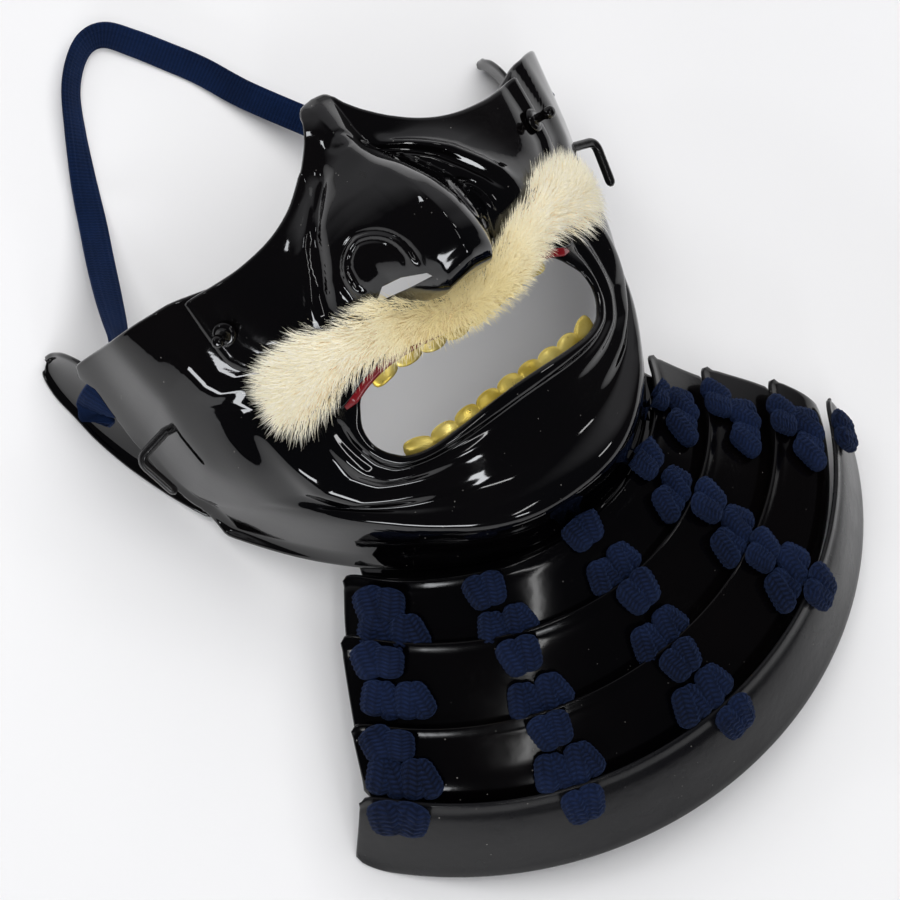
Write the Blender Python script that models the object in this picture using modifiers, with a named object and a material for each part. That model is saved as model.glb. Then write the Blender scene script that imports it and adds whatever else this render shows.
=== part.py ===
# Face guard with a laced throat guard, lying face up.
# X runs across the face, Y from the throat up to the nose bridge, Z out of the face.
# The tables are in millimetres. Their origin is the middle of the face at mouth level.
import math

import bmesh
import bpy
import numpy as np
from mathutils import Vector

MM = 0.001

# Where the tables' origin goes, so that the object's box is centred and stands on Z = 0.
PLACE = (-0.3, 20.8, -5.0)
FLOOR = -PLACE[2]

# Driving dimensions, in millimetres.
PLATE_WALL = 1.6
PLATE_GAP = 0.5
LAME_WALL = 1.4
NECK_WALL = 1.2
NECK_HALF_ANGLE = math.radians(46.0)
LAME_TILT = 2.4
LAME_OVERLAP = 0.16
LAME_HALF_ANGLE = 60.0
EAR_WALL = 1.5
RIM_ROLL = 1.8
TOOTH_WALL = 1.0
UPPER_TEETH_COUNT = 8
UPPER_TEETH_HALF = 31.5
LOWER_TEETH_COUNT = 9
LOWER_TEETH_HALF = 35.0
HOOK_RADIUS = 1.5
STUD_RADIUS = 1.9
STUD_AT = (54.6, 49.4)
HOOK_AT = (73.0, 45.0)
HOOK_CORNER = (87.0, 43.4, 35.5)
HOOK_END = (83.6, 29.6, 32.5)
STRAP_WIDTH = 8.8
STRAP_THICKNESS = 2.0
KNOT_CLEARANCE = 0.35
SIDE_LAG = 2.4
WALL_BEND = 0.68
RIGHT_TUCK = 2.2
BRIDGE_LEAN = 1.2

# Level sections of the bare face, from above the bridge to the jaw rim.
# columns: mid_y, mid_z, half_width, side_z, side_y, fall (power of the drop to the side),
# flat (how far the side wall is flattened)
SECTIONS = np.array((
    (100.0, 104.0, 89.5, 52.0, 94.0, 1.0, 0.0),
    (70.0, 104.0, 87.3, 34.0, 76.0, 1.0, 0.06),
    (38.0, 100.0, 83.4, 17.0, 58.0, 1.0, 0.08),
    (12.0, 91.0, 80.3, 12.0, 47.0, 1.0, 0.1),
    (-14.0, 85.0, 78.2, 9.0, 38.0, 1.0, 0.14),
    (-30.0, 75.0, 75.4, 8.5, 31.0, 1.0, 0.14),
    (-43.5, 75.0, 72.4, 8.5, 25.0, 1.05, 0.13),
    (-48.0, 57.0, 75.0, 8.0, 20.0, 1.9, 0.0),
))
LAST_SECTION = len(SECTIONS) - 1.0

# Ridge of the nose along the middle. base_y is the place on the bare face.
# columns: base_y, y, z, flat_half (flat top), foot_half (where the side meets the cheek)
NOSE = np.array((
    (11.0, 11.0, 90.6, 8.0, 12.0),
    (18.5, 18.5, 93.3, 8.4, 12.0),
    (21.5, 21.2, 94.8, 8.8, 12.5),
    (23.2, 20.2, 99.5, 8.8, 13.5),
    (24.8, 17.6, 109.0, 8.8, 14.0),
    (26.4, 16.1, 120.0, 8.8, 14.5),
    (28.0, 17.4, 126.4, 8.7, 15.0),
    (30.5, 21.0, 130.3, 8.4, 15.5),
    (36.0, 30.0, 132.4, 7.0, 16.5),
    (44.0, 40.5, 131.2, 5.5, 17.0),
    (52.0, 50.5, 125.2, 4.4, 16.5),
    (61.0, 60.5, 116.4, 3.4, 15.0),
    (69.0, 69.0, 112.0, 4.4, 13.5),
    (76.5, 77.0, 111.0, 5.0, 12.5),
    (80.0, 80.4, 107.2, 5.2, 12.0),
    (82.5, 82.6, 108.0, 5.4, 12.0),
    (86.0, 86.0, 104.4, 5.6, 12.0),
))

# Nostril wings: a dome on each side of the nose tip.
WING_X = 16.8
WING_HALF_WIDTH = 8.8
WING_HEIGHT = 15.0
WING_DROOP = 3.0
# columns: base_y, share of the wing's height
WING = np.array((
    (21.0, 0.0),
    (22.8, 0.05),
    (24.6, 0.55),
    (26.6, 0.98),
    (31.0, 0.97),
    (37.0, 0.62),
    (43.0, 0.2),
    (48.0, 0.0),
))
NOSTRIL_AT = (16.0, 25.2, 104.0)
NOSTRIL_HALF = (7.0, 2.3, 14.0)
NOSTRIL_RISE = 1.9
NOSTRIL_LEAN = math.radians(9.0)

# Lower plate, half of it: matched places on the mouth's edge and on the outer edge.
# columns: mouth_x, mouth_y, edge_angle (degrees round the face), edge_section
LOWER_PLATE = np.array((
    (28.0, 15.0, 37.0, 1.42),
    (33.5, 14.2, 46.0, 1.3),
    (37.0, 12.0, 64.0, 1.17),
    (38.8, 9.2, 82.0, 1.06),
    (39.7, 7.2, 85.2, 1.15),
    (40.2, 5.2, 80.5, 1.42),
    (40.4, 3.4, 82.0, 1.75),
    (40.2, 0.6, 84.4, 2.5),
    (39.2, -2.4, 86.5, 4.0),
    (37.4, -5.4, 87.5, 5.9),
    (34.2, -8.6, 76.0, 7.0),
    (28.0, -10.9, 55.0, 7.0),
    (19.0, -11.7, 34.0, 7.0),
    (9.5, -11.7, 16.0, 7.0),
    (0.0, -11.6, 0.0, 7.0),
))
# Ribs and grooves that follow the mouth's edge.
# columns: share (0 at the mouth, 1 at the outer edge), height, width (share)
RIBS = np.array((
    (0.02, 1.3, 0.035),
    (0.075, -0.7, 0.03),
    (0.16, 1.0, 0.045),
    (0.3, 1.3, 0.05),
    (0.5, 1.6, 0.06),
    (0.72, 1.2, 0.07),
))

# Nose plate, half of it: matched places on the top edge and on the bottom edge.
# columns: top_x, top_y, bottom_x, bottom_y
NOSE_PLATE = np.array((
    (0.0, 83.9, 0.0, 13.6),
    (4.6, 82.7, 7.0, 14.2),
    (7.0, 78.2, 12.0, 15.0),
    (10.4, 73.4, 17.5, 15.9),
    (16.0, 67.8, 22.5, 16.5),
    (23.6, 62.6, 27.5, 16.6),
    (32.5, 59.5, 33.0, 15.8),
    (42.5, 58.9, 38.0, 14.4),
    (51.0, 60.2, 42.0, 14.6),
    (58.6, 62.2, 45.2, 20.0),
))
# The plate's outer edge on the cheek, from the top corner to the bottom one.
# columns: x, y
NOSE_PLATE_SIDE = np.array((
    (58.6, 62.2),
    (58.2, 51.5),
    (57.4, 43.6),
    (55.4, 39.4),
    (51.6, 36.2),
    (48.2, 29.0),
    (45.2, 20.0),
))

# Moustache: outer form of the fur along the upper lip, from left to right.
# columns: x, y, half_width, height
MOUSTACHE = np.array((
    (-54.6, 25.6, 3.6, 2.4),
    (-52.0, 25.5, 8.4, 5.6),
    (-47.0, 25.4, 11.0, 7.5),
    (-41.0, 25.5, 10.8, 8.0),
    (-35.0, 24.8, 8.6, 8.0),
    (-27.0, 19.6, 4.4, 7.5),
    (-18.6, 17.2, 4.8, 7.0),
    (-9.0, 15.3, 5.0, 7.0),
    (-1.0, 14.0, 4.8, 6.5),
    (5.4, 13.8, 4.8, 6.5),
    (13.0, 14.8, 5.0, 7.0),
    (19.4, 16.6, 5.2, 7.0),
    (26.6, 19.3, 4.6, 7.5),
    (36.4, 24.2, 8.8, 8.0),
    (44.0, 25.6, 10.6, 8.0),
    (51.0, 26.6, 10.4, 7.0),
    (55.5, 27.4, 7.6, 4.8),
    (58.2, 28.2, 3.6, 2.4),
))

# Ear plate behind each side wall.
# columns: y, inner_x, inner_z, outer_x, outer_z
EAR_PLATE = np.array((
    (89.6, 82.9, 10.4, 83.4, 8.2),
    (85.6, 83.4, 18.5, 86.0, 6.0),
    (79.4, 82.6, 25.0, 87.8, 3.6),
    (72.0, 80.8, 29.0, 87.6, 3.4),
    (62.0, 78.6, 27.0, 86.6, 3.4),
    (50.0, 74.8, 22.0, 84.0, 3.4),
    (38.0, 71.4, 14.5, 80.2, 3.4),
    (29.0, 69.8, 9.5, 76.6, 3.6),
    (23.6, 71.0, 6.6, 74.0, 5.6),
))

# Throat guard: arcs from the top edge of lame 1 to the bottom edge of lame 4.
# columns: half_width, depth, end_y, yaw (degrees), shift_x, end_z, mid_z
GUARD = np.array((
    (56.4, 29.2, -19.4, 0.0, -1.8, 32.0, 57.0),
    (67.6, 39.0, -32.1, 0.5, -2.2, 32.0, 55.4),
    (81.8, 42.2, -50.4, 3.0, -1.8, 31.5, 49.9),
    (92.2, 48.8, -65.9, 3.7, -0.8, 28.5, 43.9),
    (103.2, 56.8, -76.8, 5.0, 0.4, 3.2, 24.6),
))
LAME_COUNT = 4
LAME_TOP = 0.14

# Lacing knots. Across is a share of the half angle, down counts lames from the top.
# columns: lame, column, across, down, width, length
HEARTS = np.array((
    (1, 1, -0.85, 0.39, 18.0, 8.8),
    (1, 2, -0.45, 0.37, 12.5, 9.8),
    (1, 3, -0.015, 0.31, 12.5, 11.0),
    (1, 4, 0.393, 0.25, 12.5, 11.0),
    (1, 5, 0.79, 0.29, 15.0, 8.6),
    (2, 1, -0.872, 1.28, 19.0, 11.0),
    (2, 2, -0.425, 1.29, 12.5, 11.0),
    (2, 3, 0.008, 1.26, 12.5, 11.0),
    (2, 4, 0.418, 1.235, 12.5, 11.0),
    (2, 5, 0.825, 1.24, 15.0, 10.0),
    (3, 1, -0.892, 2.27, 20.0, 10.5),
    (3, 2, -0.435, 2.28, 12.5, 11.0),
    (3, 3, -0.025, 2.27, 12.5, 11.0),
    (3, 4, 0.384, 2.24, 12.5, 11.0),
    (3, 5, 0.84, 2.24, 17.0, 10.0),
    (4, 1, -0.885, 3.2, 21.0, 11.0),
    (4, 2, -0.437, 3.21, 13.5, 11.5),
    (4, 3, -0.001, 3.2, 13.5, 11.5),
    (4, 4, 0.41, 3.17, 13.5, 11.5),
    (4, 5, 0.88, 3.17, 18.0, 10.5),
))
# columns: lame, column, across, down, width, length
PAIRS = np.array((
    (1, 1, -0.832, 0.82, 19.0, 4.8),
    (1, 2, -0.43, 0.81, 17.5, 7.0),
    (1, 3, 0.005, 0.76, 17.5, 8.8),
    (1, 4, 0.395, 0.74, 17.5, 8.4),
    (1, 5, 0.735, 0.74, 20.0, 5.8),
    (2, 1, -0.85, 1.73, 24.0, 8.5),
    (2, 2, -0.425, 1.745, 19.0, 9.0),
    (2, 3, -0.015, 1.74, 19.0, 9.0),
    (2, 4, 0.39, 1.73, 19.0, 9.4),
    (2, 5, 0.785, 1.7, 23.0, 8.8),
    (3, 1, -0.875, 2.73, 27.0, 8.2),
    (3, 2, -0.44, 2.745, 20.5, 9.0),
    (3, 3, -0.025, 2.745, 20.5, 9.0),
    (3, 4, 0.39, 2.73, 20.5, 9.2),
    (3, 5, 0.825, 2.71, 25.0, 8.4),
))
KNOT_HEIGHT = 5.2
HEART_TIP = 0.3
PAIR_TIP = -0.12

# Carrying strap, a loop from the left wall to the right one.
# columns: x, y, z, lean (degrees that the flat face leans from lying flat)
STRAP = np.array((
    (-77.0, 67.0, 38.5, 80.0),
    (-73.6, 72.5, 37.0, 66.0),
    (-68.3, 79.5, 32.0, 40.0),
    (-61.7, 91.9, 24.0, 20.0),
    (-55.3, 104.1, 17.0, 10.0),
    (-48.9, 115.9, 11.0, 10.0),
    (-43.7, 126.3, 8.0, 20.0),
    (-38.8, 136.1, 7.4, 34.0),
    (-34.4, 144.5, 8.0, 44.0),
    (-28.1, 155.3, 9.2, 52.0),
    (-21.5, 162.2, 10.0, 56.0),
    (-14.7, 165.7, 10.4, 56.0),
    (-8.4, 164.5, 10.0, 52.0),
    (-2.9, 157.9, 9.2, 46.0),
    (3.1, 148.9, 8.4, 40.0),
    (9.2, 138.5, 8.2, 34.0),
    (14.9, 124.2, 9.8, 28.0),
    (23.1, 105.4, 15.0, 22.0),
    (28.9, 90.7, 21.0, 20.0),
    (37.0, 77.3, 27.0, 24.0),
    (47.4, 67.1, 33.0, 40.0),
    (61.0, 63.5, 37.0, 60.0),
    (75.4, 67.0, 38.5, 80.0),
))

# The strap's end, turned outward under each side wall and over the ear plate. Left side.
# columns: x, y, z, lean
STRAP_TURN = np.array((
    (-78.6, 69.4, 31.2, 0.0),
    (-81.6, 69.4, 31.0, 0.0),
    (-84.4, 69.2, 29.6, 0.0),
    (-86.4, 69.0, 26.2, 0.0),
    (-87.8, 68.9, 21.6, 0.0),
))

# columns: name, base colour, roughness, metallic
BLACK_LACQUER = ("black_lacquer", (0.006, 0.006, 0.008), 0.08, 0.0)
SATIN_BLACK = ("satin_black", (0.02, 0.02, 0.022), 0.4, 0.0)
GOLD = ("gold_leaf", (0.72, 0.48, 0.12), 0.25, 1.0)
RED_LACQUER = ("red_lacquer", (0.3, 0.012, 0.015), 0.2, 0.0)
BLUE_CORD = ("blue_cord", (0.012, 0.03, 0.11), 0.85, 0.0)
NAVY_STRAP = ("navy_strap", (0.008, 0.018, 0.06), 0.85, 0.0)
CREAM_FUR = ("cream_fur", (0.8, 0.71, 0.47), 0.9, 0.0)


def spline(knots, rows, at):
    # Cubic pieces through the rows. The slope at a row is that of its neighbours.
    knots = np.asarray(knots, float)
    rows = np.asarray(rows, float)
    at = np.asarray(at, float)
    slope = np.gradient(rows, knots, axis=0)
    i = np.clip(np.searchsorted(knots, at, side="right") - 1, 0, len(knots) - 2)
    step = knots[i + 1] - knots[i]
    f = (at - knots[i]) / step
    if rows.ndim == 2:
        step = step[..., None]
        f = f[..., None]
    a = rows[i] * (1 + 2 * f) + slope[i] * step * f
    b = rows[i + 1] * (3 - 2 * f) - slope[i + 1] * step * (1 - f)
    return a * (1 - f) ** 2 + b * f ** 2


def table_at(table, share):
    # Rows of a table at even steps, share 0 at the first row and 1 at the last.
    knots = np.linspace(0.0, 1.0, len(table))
    return spline(knots, table, share)


def straight_at(table, share):
    # As table_at, with straight runs, so that corners stay sharp.
    knots = np.linspace(0.0, 1.0, len(table))
    return np.stack([np.interp(share, knots, column) for column in table.T], -1)


def tuck_right(points):
    # The right side stands in a little more than the left one.
    inward = RIGHT_TUCK * np.clip((points[..., 0] - 40.0) / 40.0, 0, 1)
    inward = inward * (1 + np.clip((35.0 - points[..., 1]) / 60.0, 0, 1))
    return points - np.stack([inward, 0 * inward, 0 * inward], -1)


def face_point(angle, section):
    # A point of the bare face: each section is a half ellipse that lags back at its sides.
    row = spline(np.arange(len(SECTIONS)), SECTIONS, section)
    mid_y, mid_z, half_width, side_z, side_y, fall, flat = np.moveaxis(row, -1, 0)
    side = np.abs(np.sin(angle))
    rise = np.abs(np.cos(angle))
    rise = rise - flat * np.sin(math.pi * np.clip(rise / WALL_BEND, 0, 1)) ** 2
    x = half_width * np.sin(angle)
    y = mid_y + (side_y - mid_y) * side ** SIDE_LAG
    z = side_z + (mid_z - side_z) * np.clip(rise, 0, 1) ** fall
    return tuck_right(np.stack([x, y, z], -1))


def face_place(x, y):
    # Angle and section of the face point that has this x and y, by halving.
    x, y = np.broadcast_arrays(np.asarray(x, float), np.asarray(y, float))
    low = np.zeros(x.shape)
    high = np.full(x.shape, LAST_SECTION)
    for _ in range(40):
        middle = (low + high) / 2
        half_width = spline(np.arange(len(SECTIONS)), SECTIONS, middle)[..., 2]
        angle = np.arcsin(np.clip(x / half_width, -1, 1))
        above = face_point(angle, middle)[..., 1] > y
        low = np.where(above, middle, low)
        high = np.where(above, high, middle)
    return angle, middle


def unit(v):
    return v / np.maximum(np.linalg.norm(v, axis=-1, keepdims=True), 1e-9)


def face_normal(angle, section):
    step = 1e-3
    across = face_point(angle + step, section) - face_point(angle - step, section)
    down = face_point(angle, np.minimum(section + step, LAST_SECTION)) - face_point(angle, section - step)
    return unit(np.cross(down, across))


def nose_shift(x, base_y):
    # How far the nose and its wings move a face point: along Y and along Z.
    row = spline(NOSE[:, 0], NOSE, np.clip(base_y, NOSE[0, 0], NOSE[-1, 0]))
    mid = face_point(*face_place(np.zeros_like(base_y), base_y))
    side = np.clip((np.abs(x) - row[..., 3]) / (row[..., 4] - row[..., 3]), 0, 1)
    share = (1 - side) ** 1.4
    inside = np.clip((base_y - NOSE[0, 0]) / 3.0, 0, 1)
    ridge_y = (row[..., 1] - base_y) * share * inside
    ridge_z = np.maximum(row[..., 2] - mid[..., 2], 0) * share * inside
    off = np.clip((np.abs(x) - WING_X) / WING_HALF_WIDTH, -1, 1)
    wing = np.interp(base_y, WING[:, 0], WING[:, 1]) * (1 - off ** 2) ** 0.8
    wing_z = WING_HEIGHT * wing
    z = (ridge_z ** 4 + wing_z ** 4) ** 0.25
    y = np.where(ridge_z > wing_z, ridge_y, np.minimum(ridge_y, 0) - WING_DROOP * wing)
    return y, z


def to_world(points):
    # Millimetres of the tables to metres in the object's place.
    return (np.asarray(points, float) + np.asarray(PLACE)) * MM


def make_material(finish):
    name, colour, roughness, metallic = finish
    found = bpy.data.materials.get(name)
    if found:
        return found
    material = bpy.data.materials.new(name)
    material.use_nodes = True
    shader = material.node_tree.nodes["Principled BSDF"]
    shader.inputs["Base Color"].default_value = (*colour, 1.0)
    shader.inputs["Roughness"].default_value = roughness
    shader.inputs["Metallic"].default_value = metallic
    return material


def add_object(name, mesh, finish, collection, root):
    obj = bpy.data.objects.new(name, mesh)
    collection.objects.link(obj)
    obj.parent = root
    mesh.materials.append(make_material(finish))
    return obj


def grid_faces(rows, columns, around=False):
    # Four-sided faces of a grid of points, closed across the columns when around is set.
    faces = []
    last = columns if around else columns - 1
    for r in range(rows - 1):
        for c in range(last):
            n = (c + 1) % columns
            faces.append((r * columns + c, r * columns + n, (r + 1) * columns + n, (r + 1) * columns + c))
    return faces


def grid_mesh(name, points, around=False, caps=False):
    # A mesh from a grid of points in the tables' millimetres.
    rows, columns = points.shape[:2]
    faces = grid_faces(rows, columns, around)
    if caps:
        faces.append(tuple(range(columns))[::-1])
        faces.append(tuple((rows - 1) * columns + c for c in range(columns)))
    mesh = bpy.data.meshes.new(name)
    mesh.from_pydata(to_world(points.reshape(-1, 3)).tolist(), [], faces)
    work = bmesh.new()
    work.from_mesh(mesh)
    bmesh.ops.remove_doubles(work, verts=work.verts, dist=1e-6)
    bmesh.ops.recalc_face_normals(work, faces=work.faces)
    work.to_mesh(mesh)
    work.free()
    mesh.shade_smooth()
    return mesh


def make_shell(name, points, wall, finish, collection, root, turned_over=False):
    # A wall under the surface that the points give. The faces are turned over where the
    # rows and columns run the other way round.
    if turned_over:
        points = points[::-1]
    rows, columns = points.shape[:2]
    mesh = bpy.data.meshes.new(name)
    mesh.from_pydata(to_world(points.reshape(-1, 3)).tolist(), [], grid_faces(rows, columns))
    mesh.shade_smooth()
    obj = add_object(name, mesh, finish, collection, root)
    solid = obj.modifiers.new("wall", "SOLIDIFY")
    solid.thickness = wall * MM
    solid.offset = -1.0
    return obj


def cut_at_floor(obj):
    # The piece is applied and cut flat where it rests.
    seen = obj.evaluated_get(bpy.context.evaluated_depsgraph_get())
    mesh = bpy.data.meshes.new_from_object(seen)
    obj.modifiers.clear()
    obj.data = mesh
    work = bmesh.new()
    work.from_mesh(mesh)
    geometry = work.verts[:] + work.edges[:] + work.faces[:]
    bmesh.ops.bisect_plane(
        work, geom=geometry, dist=1e-7, plane_co=(0, 0, 0), plane_no=(0, 0, -1), clear_outer=True
    )
    open_edges = [edge for edge in work.edges if edge.is_boundary]
    bmesh.ops.holes_fill(work, edges=open_edges, sides=0)
    bmesh.ops.remove_doubles(work, verts=work.verts, dist=1e-6)
    bmesh.ops.recalc_face_normals(work, faces=work.faces)
    work.to_mesh(mesh)
    work.free()


def mirrored(place, rise):
    # The same places on the other half of the face.
    point = face_point(-place[..., 0], place[..., 1])
    return point + face_normal(-place[..., 0], place[..., 1]) * rise[..., None]


def lower_plate_points(half_columns=26, rows=12):
    # A horseshoe: each column runs from the mouth's edge to the plate's outer edge.
    half = np.linspace(0, 1, half_columns)
    mouth = table_at(LOWER_PLATE[:, :2], half)
    edge = straight_at(LOWER_PLATE[:, 2:], half)
    inner = np.stack(face_place(mouth[:, 0], mouth[:, 1]), -1)
    outer = np.stack([np.radians(edge[:, 0]), edge[:, 1]], -1)
    share = np.linspace(0, 1, rows)[:, None]
    place = inner[None] * (1 - share[..., None]) + outer[None] * share[..., None]
    point = face_point(place[..., 0], place[..., 1])
    normal = face_normal(place[..., 0], place[..., 1])
    # The ribs are strong beside the mouth's corners and fade toward the chin and the cheek.
    corner = np.exp(-((half - 0.62) / 0.2) ** 2)[None]
    rise = np.zeros(point.shape[:2])
    for at, height, width in RIBS:
        strength = corner if at > 0.1 else np.clip((half - 0.15) / 0.2, 0, 1)[None]
        rise = rise + height * strength * np.exp(-((share - at) / width) ** 2)
    # The jaw's rim is rolled outward.
    rim = np.interp(half, (0.46, 0.66, 0.78, 0.88), (0.0, 1.0, 1.0, 0.3))[None]
    rim = rim * np.clip((share - 0.9) / 0.1, 0, 1) ** 2
    rise = rise + RIM_ROLL * rim
    point = point + normal * rise[..., None]
    other = mirrored(place, rise)
    return np.concatenate([point, other[:, -2::-1]], 1)


def nose_plate_place(half_columns=15, rows=25):
    # Places on the face: a four-sided patch between top edge, side and bottom edge.
    across = np.linspace(0, 1, half_columns)[None]
    # Rows gather where the nose turns under.
    down = np.linspace(0, 1, rows)[:, None]
    down = 0.42 * down + 0.58 * (1 - (1 - down) ** 2.3)
    edges = table_at(NOSE_PLATE, across[0])
    top = edges[None, :, :2]
    bottom = edges[None, :, 2:]
    side = table_at(NOSE_PLATE_SIDE, down[:, 0])[:, None]
    straight = top * (1 - down[..., None]) + bottom * down[..., None]
    bend = (side - straight[:, -1:]) * across[..., None] ** 2
    return straight + bend


def nose_plate_surface(x, y, lift):
    # The nose plate's outer surface over a place on the bare face.
    angle, section = face_place(x, y)
    point = face_point(angle, section) + face_normal(angle, section) * lift
    shift_y, shift_z = nose_shift(x, y)
    # The bridge stands a little to the left of the middle.
    middle = np.clip((48.0 - np.abs(x)) / 20.0, 0, 1)
    point[..., 0] -= BRIDGE_LEAN * np.clip((y - 45.0) / 20.0, 0, 1) * middle
    point[..., 1] += shift_y
    point[..., 2] += shift_z
    return point


def nose_plate_points():
    place = nose_plate_place()
    place = np.concatenate([place[:, :0:-1] * (-1, 1), place], 1)
    return nose_plate_surface(place[..., 0], place[..., 1], PLATE_WALL + PLATE_GAP)


def add_cutter(name, mesh, cutters):
    obj = bpy.data.objects.new(name, mesh)
    cutters.objects.link(obj)
    obj.hide_render = True
    obj.display_type = "WIRE"
    return obj


def nostril_cutter(name, side, cutters):
    # An oval rod that leans with the nostril.
    work = bmesh.new()
    bmesh.ops.create_cone(work, cap_ends=True, segments=20, radius1=1.0, radius2=1.0, depth=2.0)
    for vert in work.verts:
        x, y, z = (c * half for c, half in zip(vert.co, NOSTRIL_HALF))
        y = y + NOSTRIL_RISE * (x * side / NOSTRIL_HALF[0]) - math.tan(NOSTRIL_LEAN) * z
        centre = Vector((side * NOSTRIL_AT[0], NOSTRIL_AT[1], NOSTRIL_AT[2]))
        vert.co = (Vector((x, y, z)) + centre + Vector(PLACE)) * MM
    mesh = bpy.data.meshes.new(name)
    work.to_mesh(mesh)
    work.free()
    return add_cutter(name, mesh, cutters)


def cut(obj, cutter):
    boolean = obj.modifiers.new(cutter.name, "BOOLEAN")
    boolean.operation = "DIFFERENCE"
    boolean.solver = "EXACT"
    boolean.object = cutter


def add_plates(collection, cutters, root):
    lower = make_shell("lower_plate", lower_plate_points(), PLATE_WALL, BLACK_LACQUER, collection, root)
    nose = make_shell("nose_plate", nose_plate_points(), PLATE_WALL, BLACK_LACQUER, collection, root, True)
    for side, word in ((-1, "left"), (1, "right")):
        cut(nose, nostril_cutter("nostril_cutter_" + word, side, cutters))
    return lower, nose


def add_upper_lip(collection, root):
    # A half-round red bead under the nose plate's edge at the mouth.
    half = np.linspace(0, 0.84, 15)
    edge = table_at(NOSE_PLATE, half)[:, 2:]
    edge = np.concatenate([edge[:0:-1] * (-1, 1), edge])
    angle, section = face_place(edge[:, 0], edge[:, 1] - 1.6)
    middle = face_point(angle, section)
    normal = face_normal(angle, section)
    turn = np.linspace(0, 2 * math.pi, 8, endpoint=False)
    end = np.minimum(1, np.minimum(np.arange(len(edge)), len(edge) - 1 - np.arange(len(edge))) / 2 + 0.45)
    down = unit(np.cross(normal, np.gradient(middle, axis=0)))
    ring = (
        middle[:, None] + normal[:, None] * (PLATE_GAP + 0.55 + 0.6 * np.sin(turn))[None, :, None]
        + down[:, None] * (1.25 * np.cos(turn))[None, :, None] * end[:, None, None]
    )
    add_object("upper_lip", grid_mesh("upper_lip", ring, around=True, caps=True), RED_LACQUER, collection, root)


def scallop(share, count):
    # A row of half-round tooth tips, 0 between teeth and 1 at a tip.
    return np.sqrt(np.clip(1 - (2 * ((share * count) % 1.0) - 1) ** 2, 0, 1))


def teeth_points(edge_x, edge_y, direction, root_length, tip_length, lift, count):
    # A strip of teeth from behind the lip's edge to a scalloped edge in the mouth.
    columns = len(edge_x)
    share = np.linspace(0, 1, columns)
    round_tip = scallop(np.clip(share, 1e-4, 1 - 1e-4), count)
    out = np.linspace(0, 1, 4)[:, None]
    reach = -root_length + out * (root_length + tip_length * (0.45 + 0.55 * round_tip))
    angle, section = face_place(edge_x[None] + 0 * reach, edge_y[None] + direction * reach)
    swell = np.where(reach > 0, 1.1 * np.sin(math.pi * np.clip(reach / (tip_length + 1e-6), 0, 1)), 0)
    height = lift + swell * (0.35 + 0.65 * round_tip)
    return face_point(angle, section) + face_normal(angle, section) * height[..., None]


def add_teeth(collection, root):
    across = np.linspace(-UPPER_TEETH_HALF, UPPER_TEETH_HALF, UPPER_TEETH_COUNT * 6 + 1)
    edge_y = np.interp(np.abs(across), NOSE_PLATE[:, 2], NOSE_PLATE[:, 3]) - 2.6
    upper = teeth_points(across, edge_y, -1, 3.4, 3.1, -2.0, UPPER_TEETH_COUNT)
    make_shell("upper_teeth", upper, TOOTH_WALL, GOLD, collection, root, True)
    across = np.linspace(-LOWER_TEETH_HALF, LOWER_TEETH_HALF, LOWER_TEETH_COUNT * 6 + 1)
    mouth = LOWER_PLATE[:-6:-1]
    edge_y = np.interp(np.abs(across), mouth[:, 0], mouth[:, 1])
    lower = teeth_points(across, edge_y, 1, 2.8, 3.4, -2.4, LOWER_TEETH_COUNT)
    make_shell("lower_teeth", lower, TOOTH_WALL, GOLD, collection, root)


def add_moustache(collection, root):
    # Rings round the band of fur. The flat side follows the plate under it.
    row = table_at(MOUSTACHE, np.linspace(0, 1, 29))
    turn = np.linspace(0, 2 * math.pi, 12, endpoint=False)
    x = row[:, :1] + 0 * turn[None]
    y = row[:, 1:2] + row[:, 2:3] * np.cos(turn)[None]
    rise = np.clip(np.sin(turn), 0, 1)[None] ** 0.7 * row[:, 3:4]
    place = face_place(x, y)
    lift = PLATE_WALL + PLATE_GAP + 1.2 + rise + 0.0 * x
    ring = face_point(*place) + face_normal(*place) * lift[..., None]
    mesh = grid_mesh("moustache", ring, around=True, caps=True)
    add_object("moustache", mesh, CREAM_FUR, collection, root)


def turned(name, profile, start, toward, finish, collection, root, steps=14):
    # A turned pin: the profile is spun round Z, top to bottom, and stood up along its axis.
    mesh = bpy.data.meshes.new(name)
    points = [(radius * MM, 0.0, height * MM) for radius, height in profile]
    mesh.from_pydata(points, [(i, i + 1) for i in range(len(points) - 1)], [])
    obj = add_object(name, mesh, finish, collection, root)
    screw = obj.modifiers.new("turn", "SCREW")
    screw.axis = "Z"
    screw.steps = steps
    screw.render_steps = steps
    screw.use_merge_vertices = True
    screw.merge_threshold = 0.00001
    obj.location = to_world(start)
    obj.rotation_euler = Vector(toward).to_track_quat("Z", "Y").to_euler()
    return obj


def rod(name, points, radius, finish, collection, root):
    curve = bpy.data.curves.new(name, "CURVE")
    curve.dimensions = "3D"
    curve.bevel_depth = radius * MM
    curve.bevel_resolution = 2
    curve.use_fill_caps = True
    line = curve.splines.new("POLY")
    line.points.add(len(points) - 1)
    for place, target in zip(to_world(points), line.points):
        target.co = (*place, 1.0)
    obj = bpy.data.objects.new(name, curve)
    collection.objects.link(obj)
    obj.parent = root
    curve.materials.append(make_material(finish))
    return obj


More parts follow.
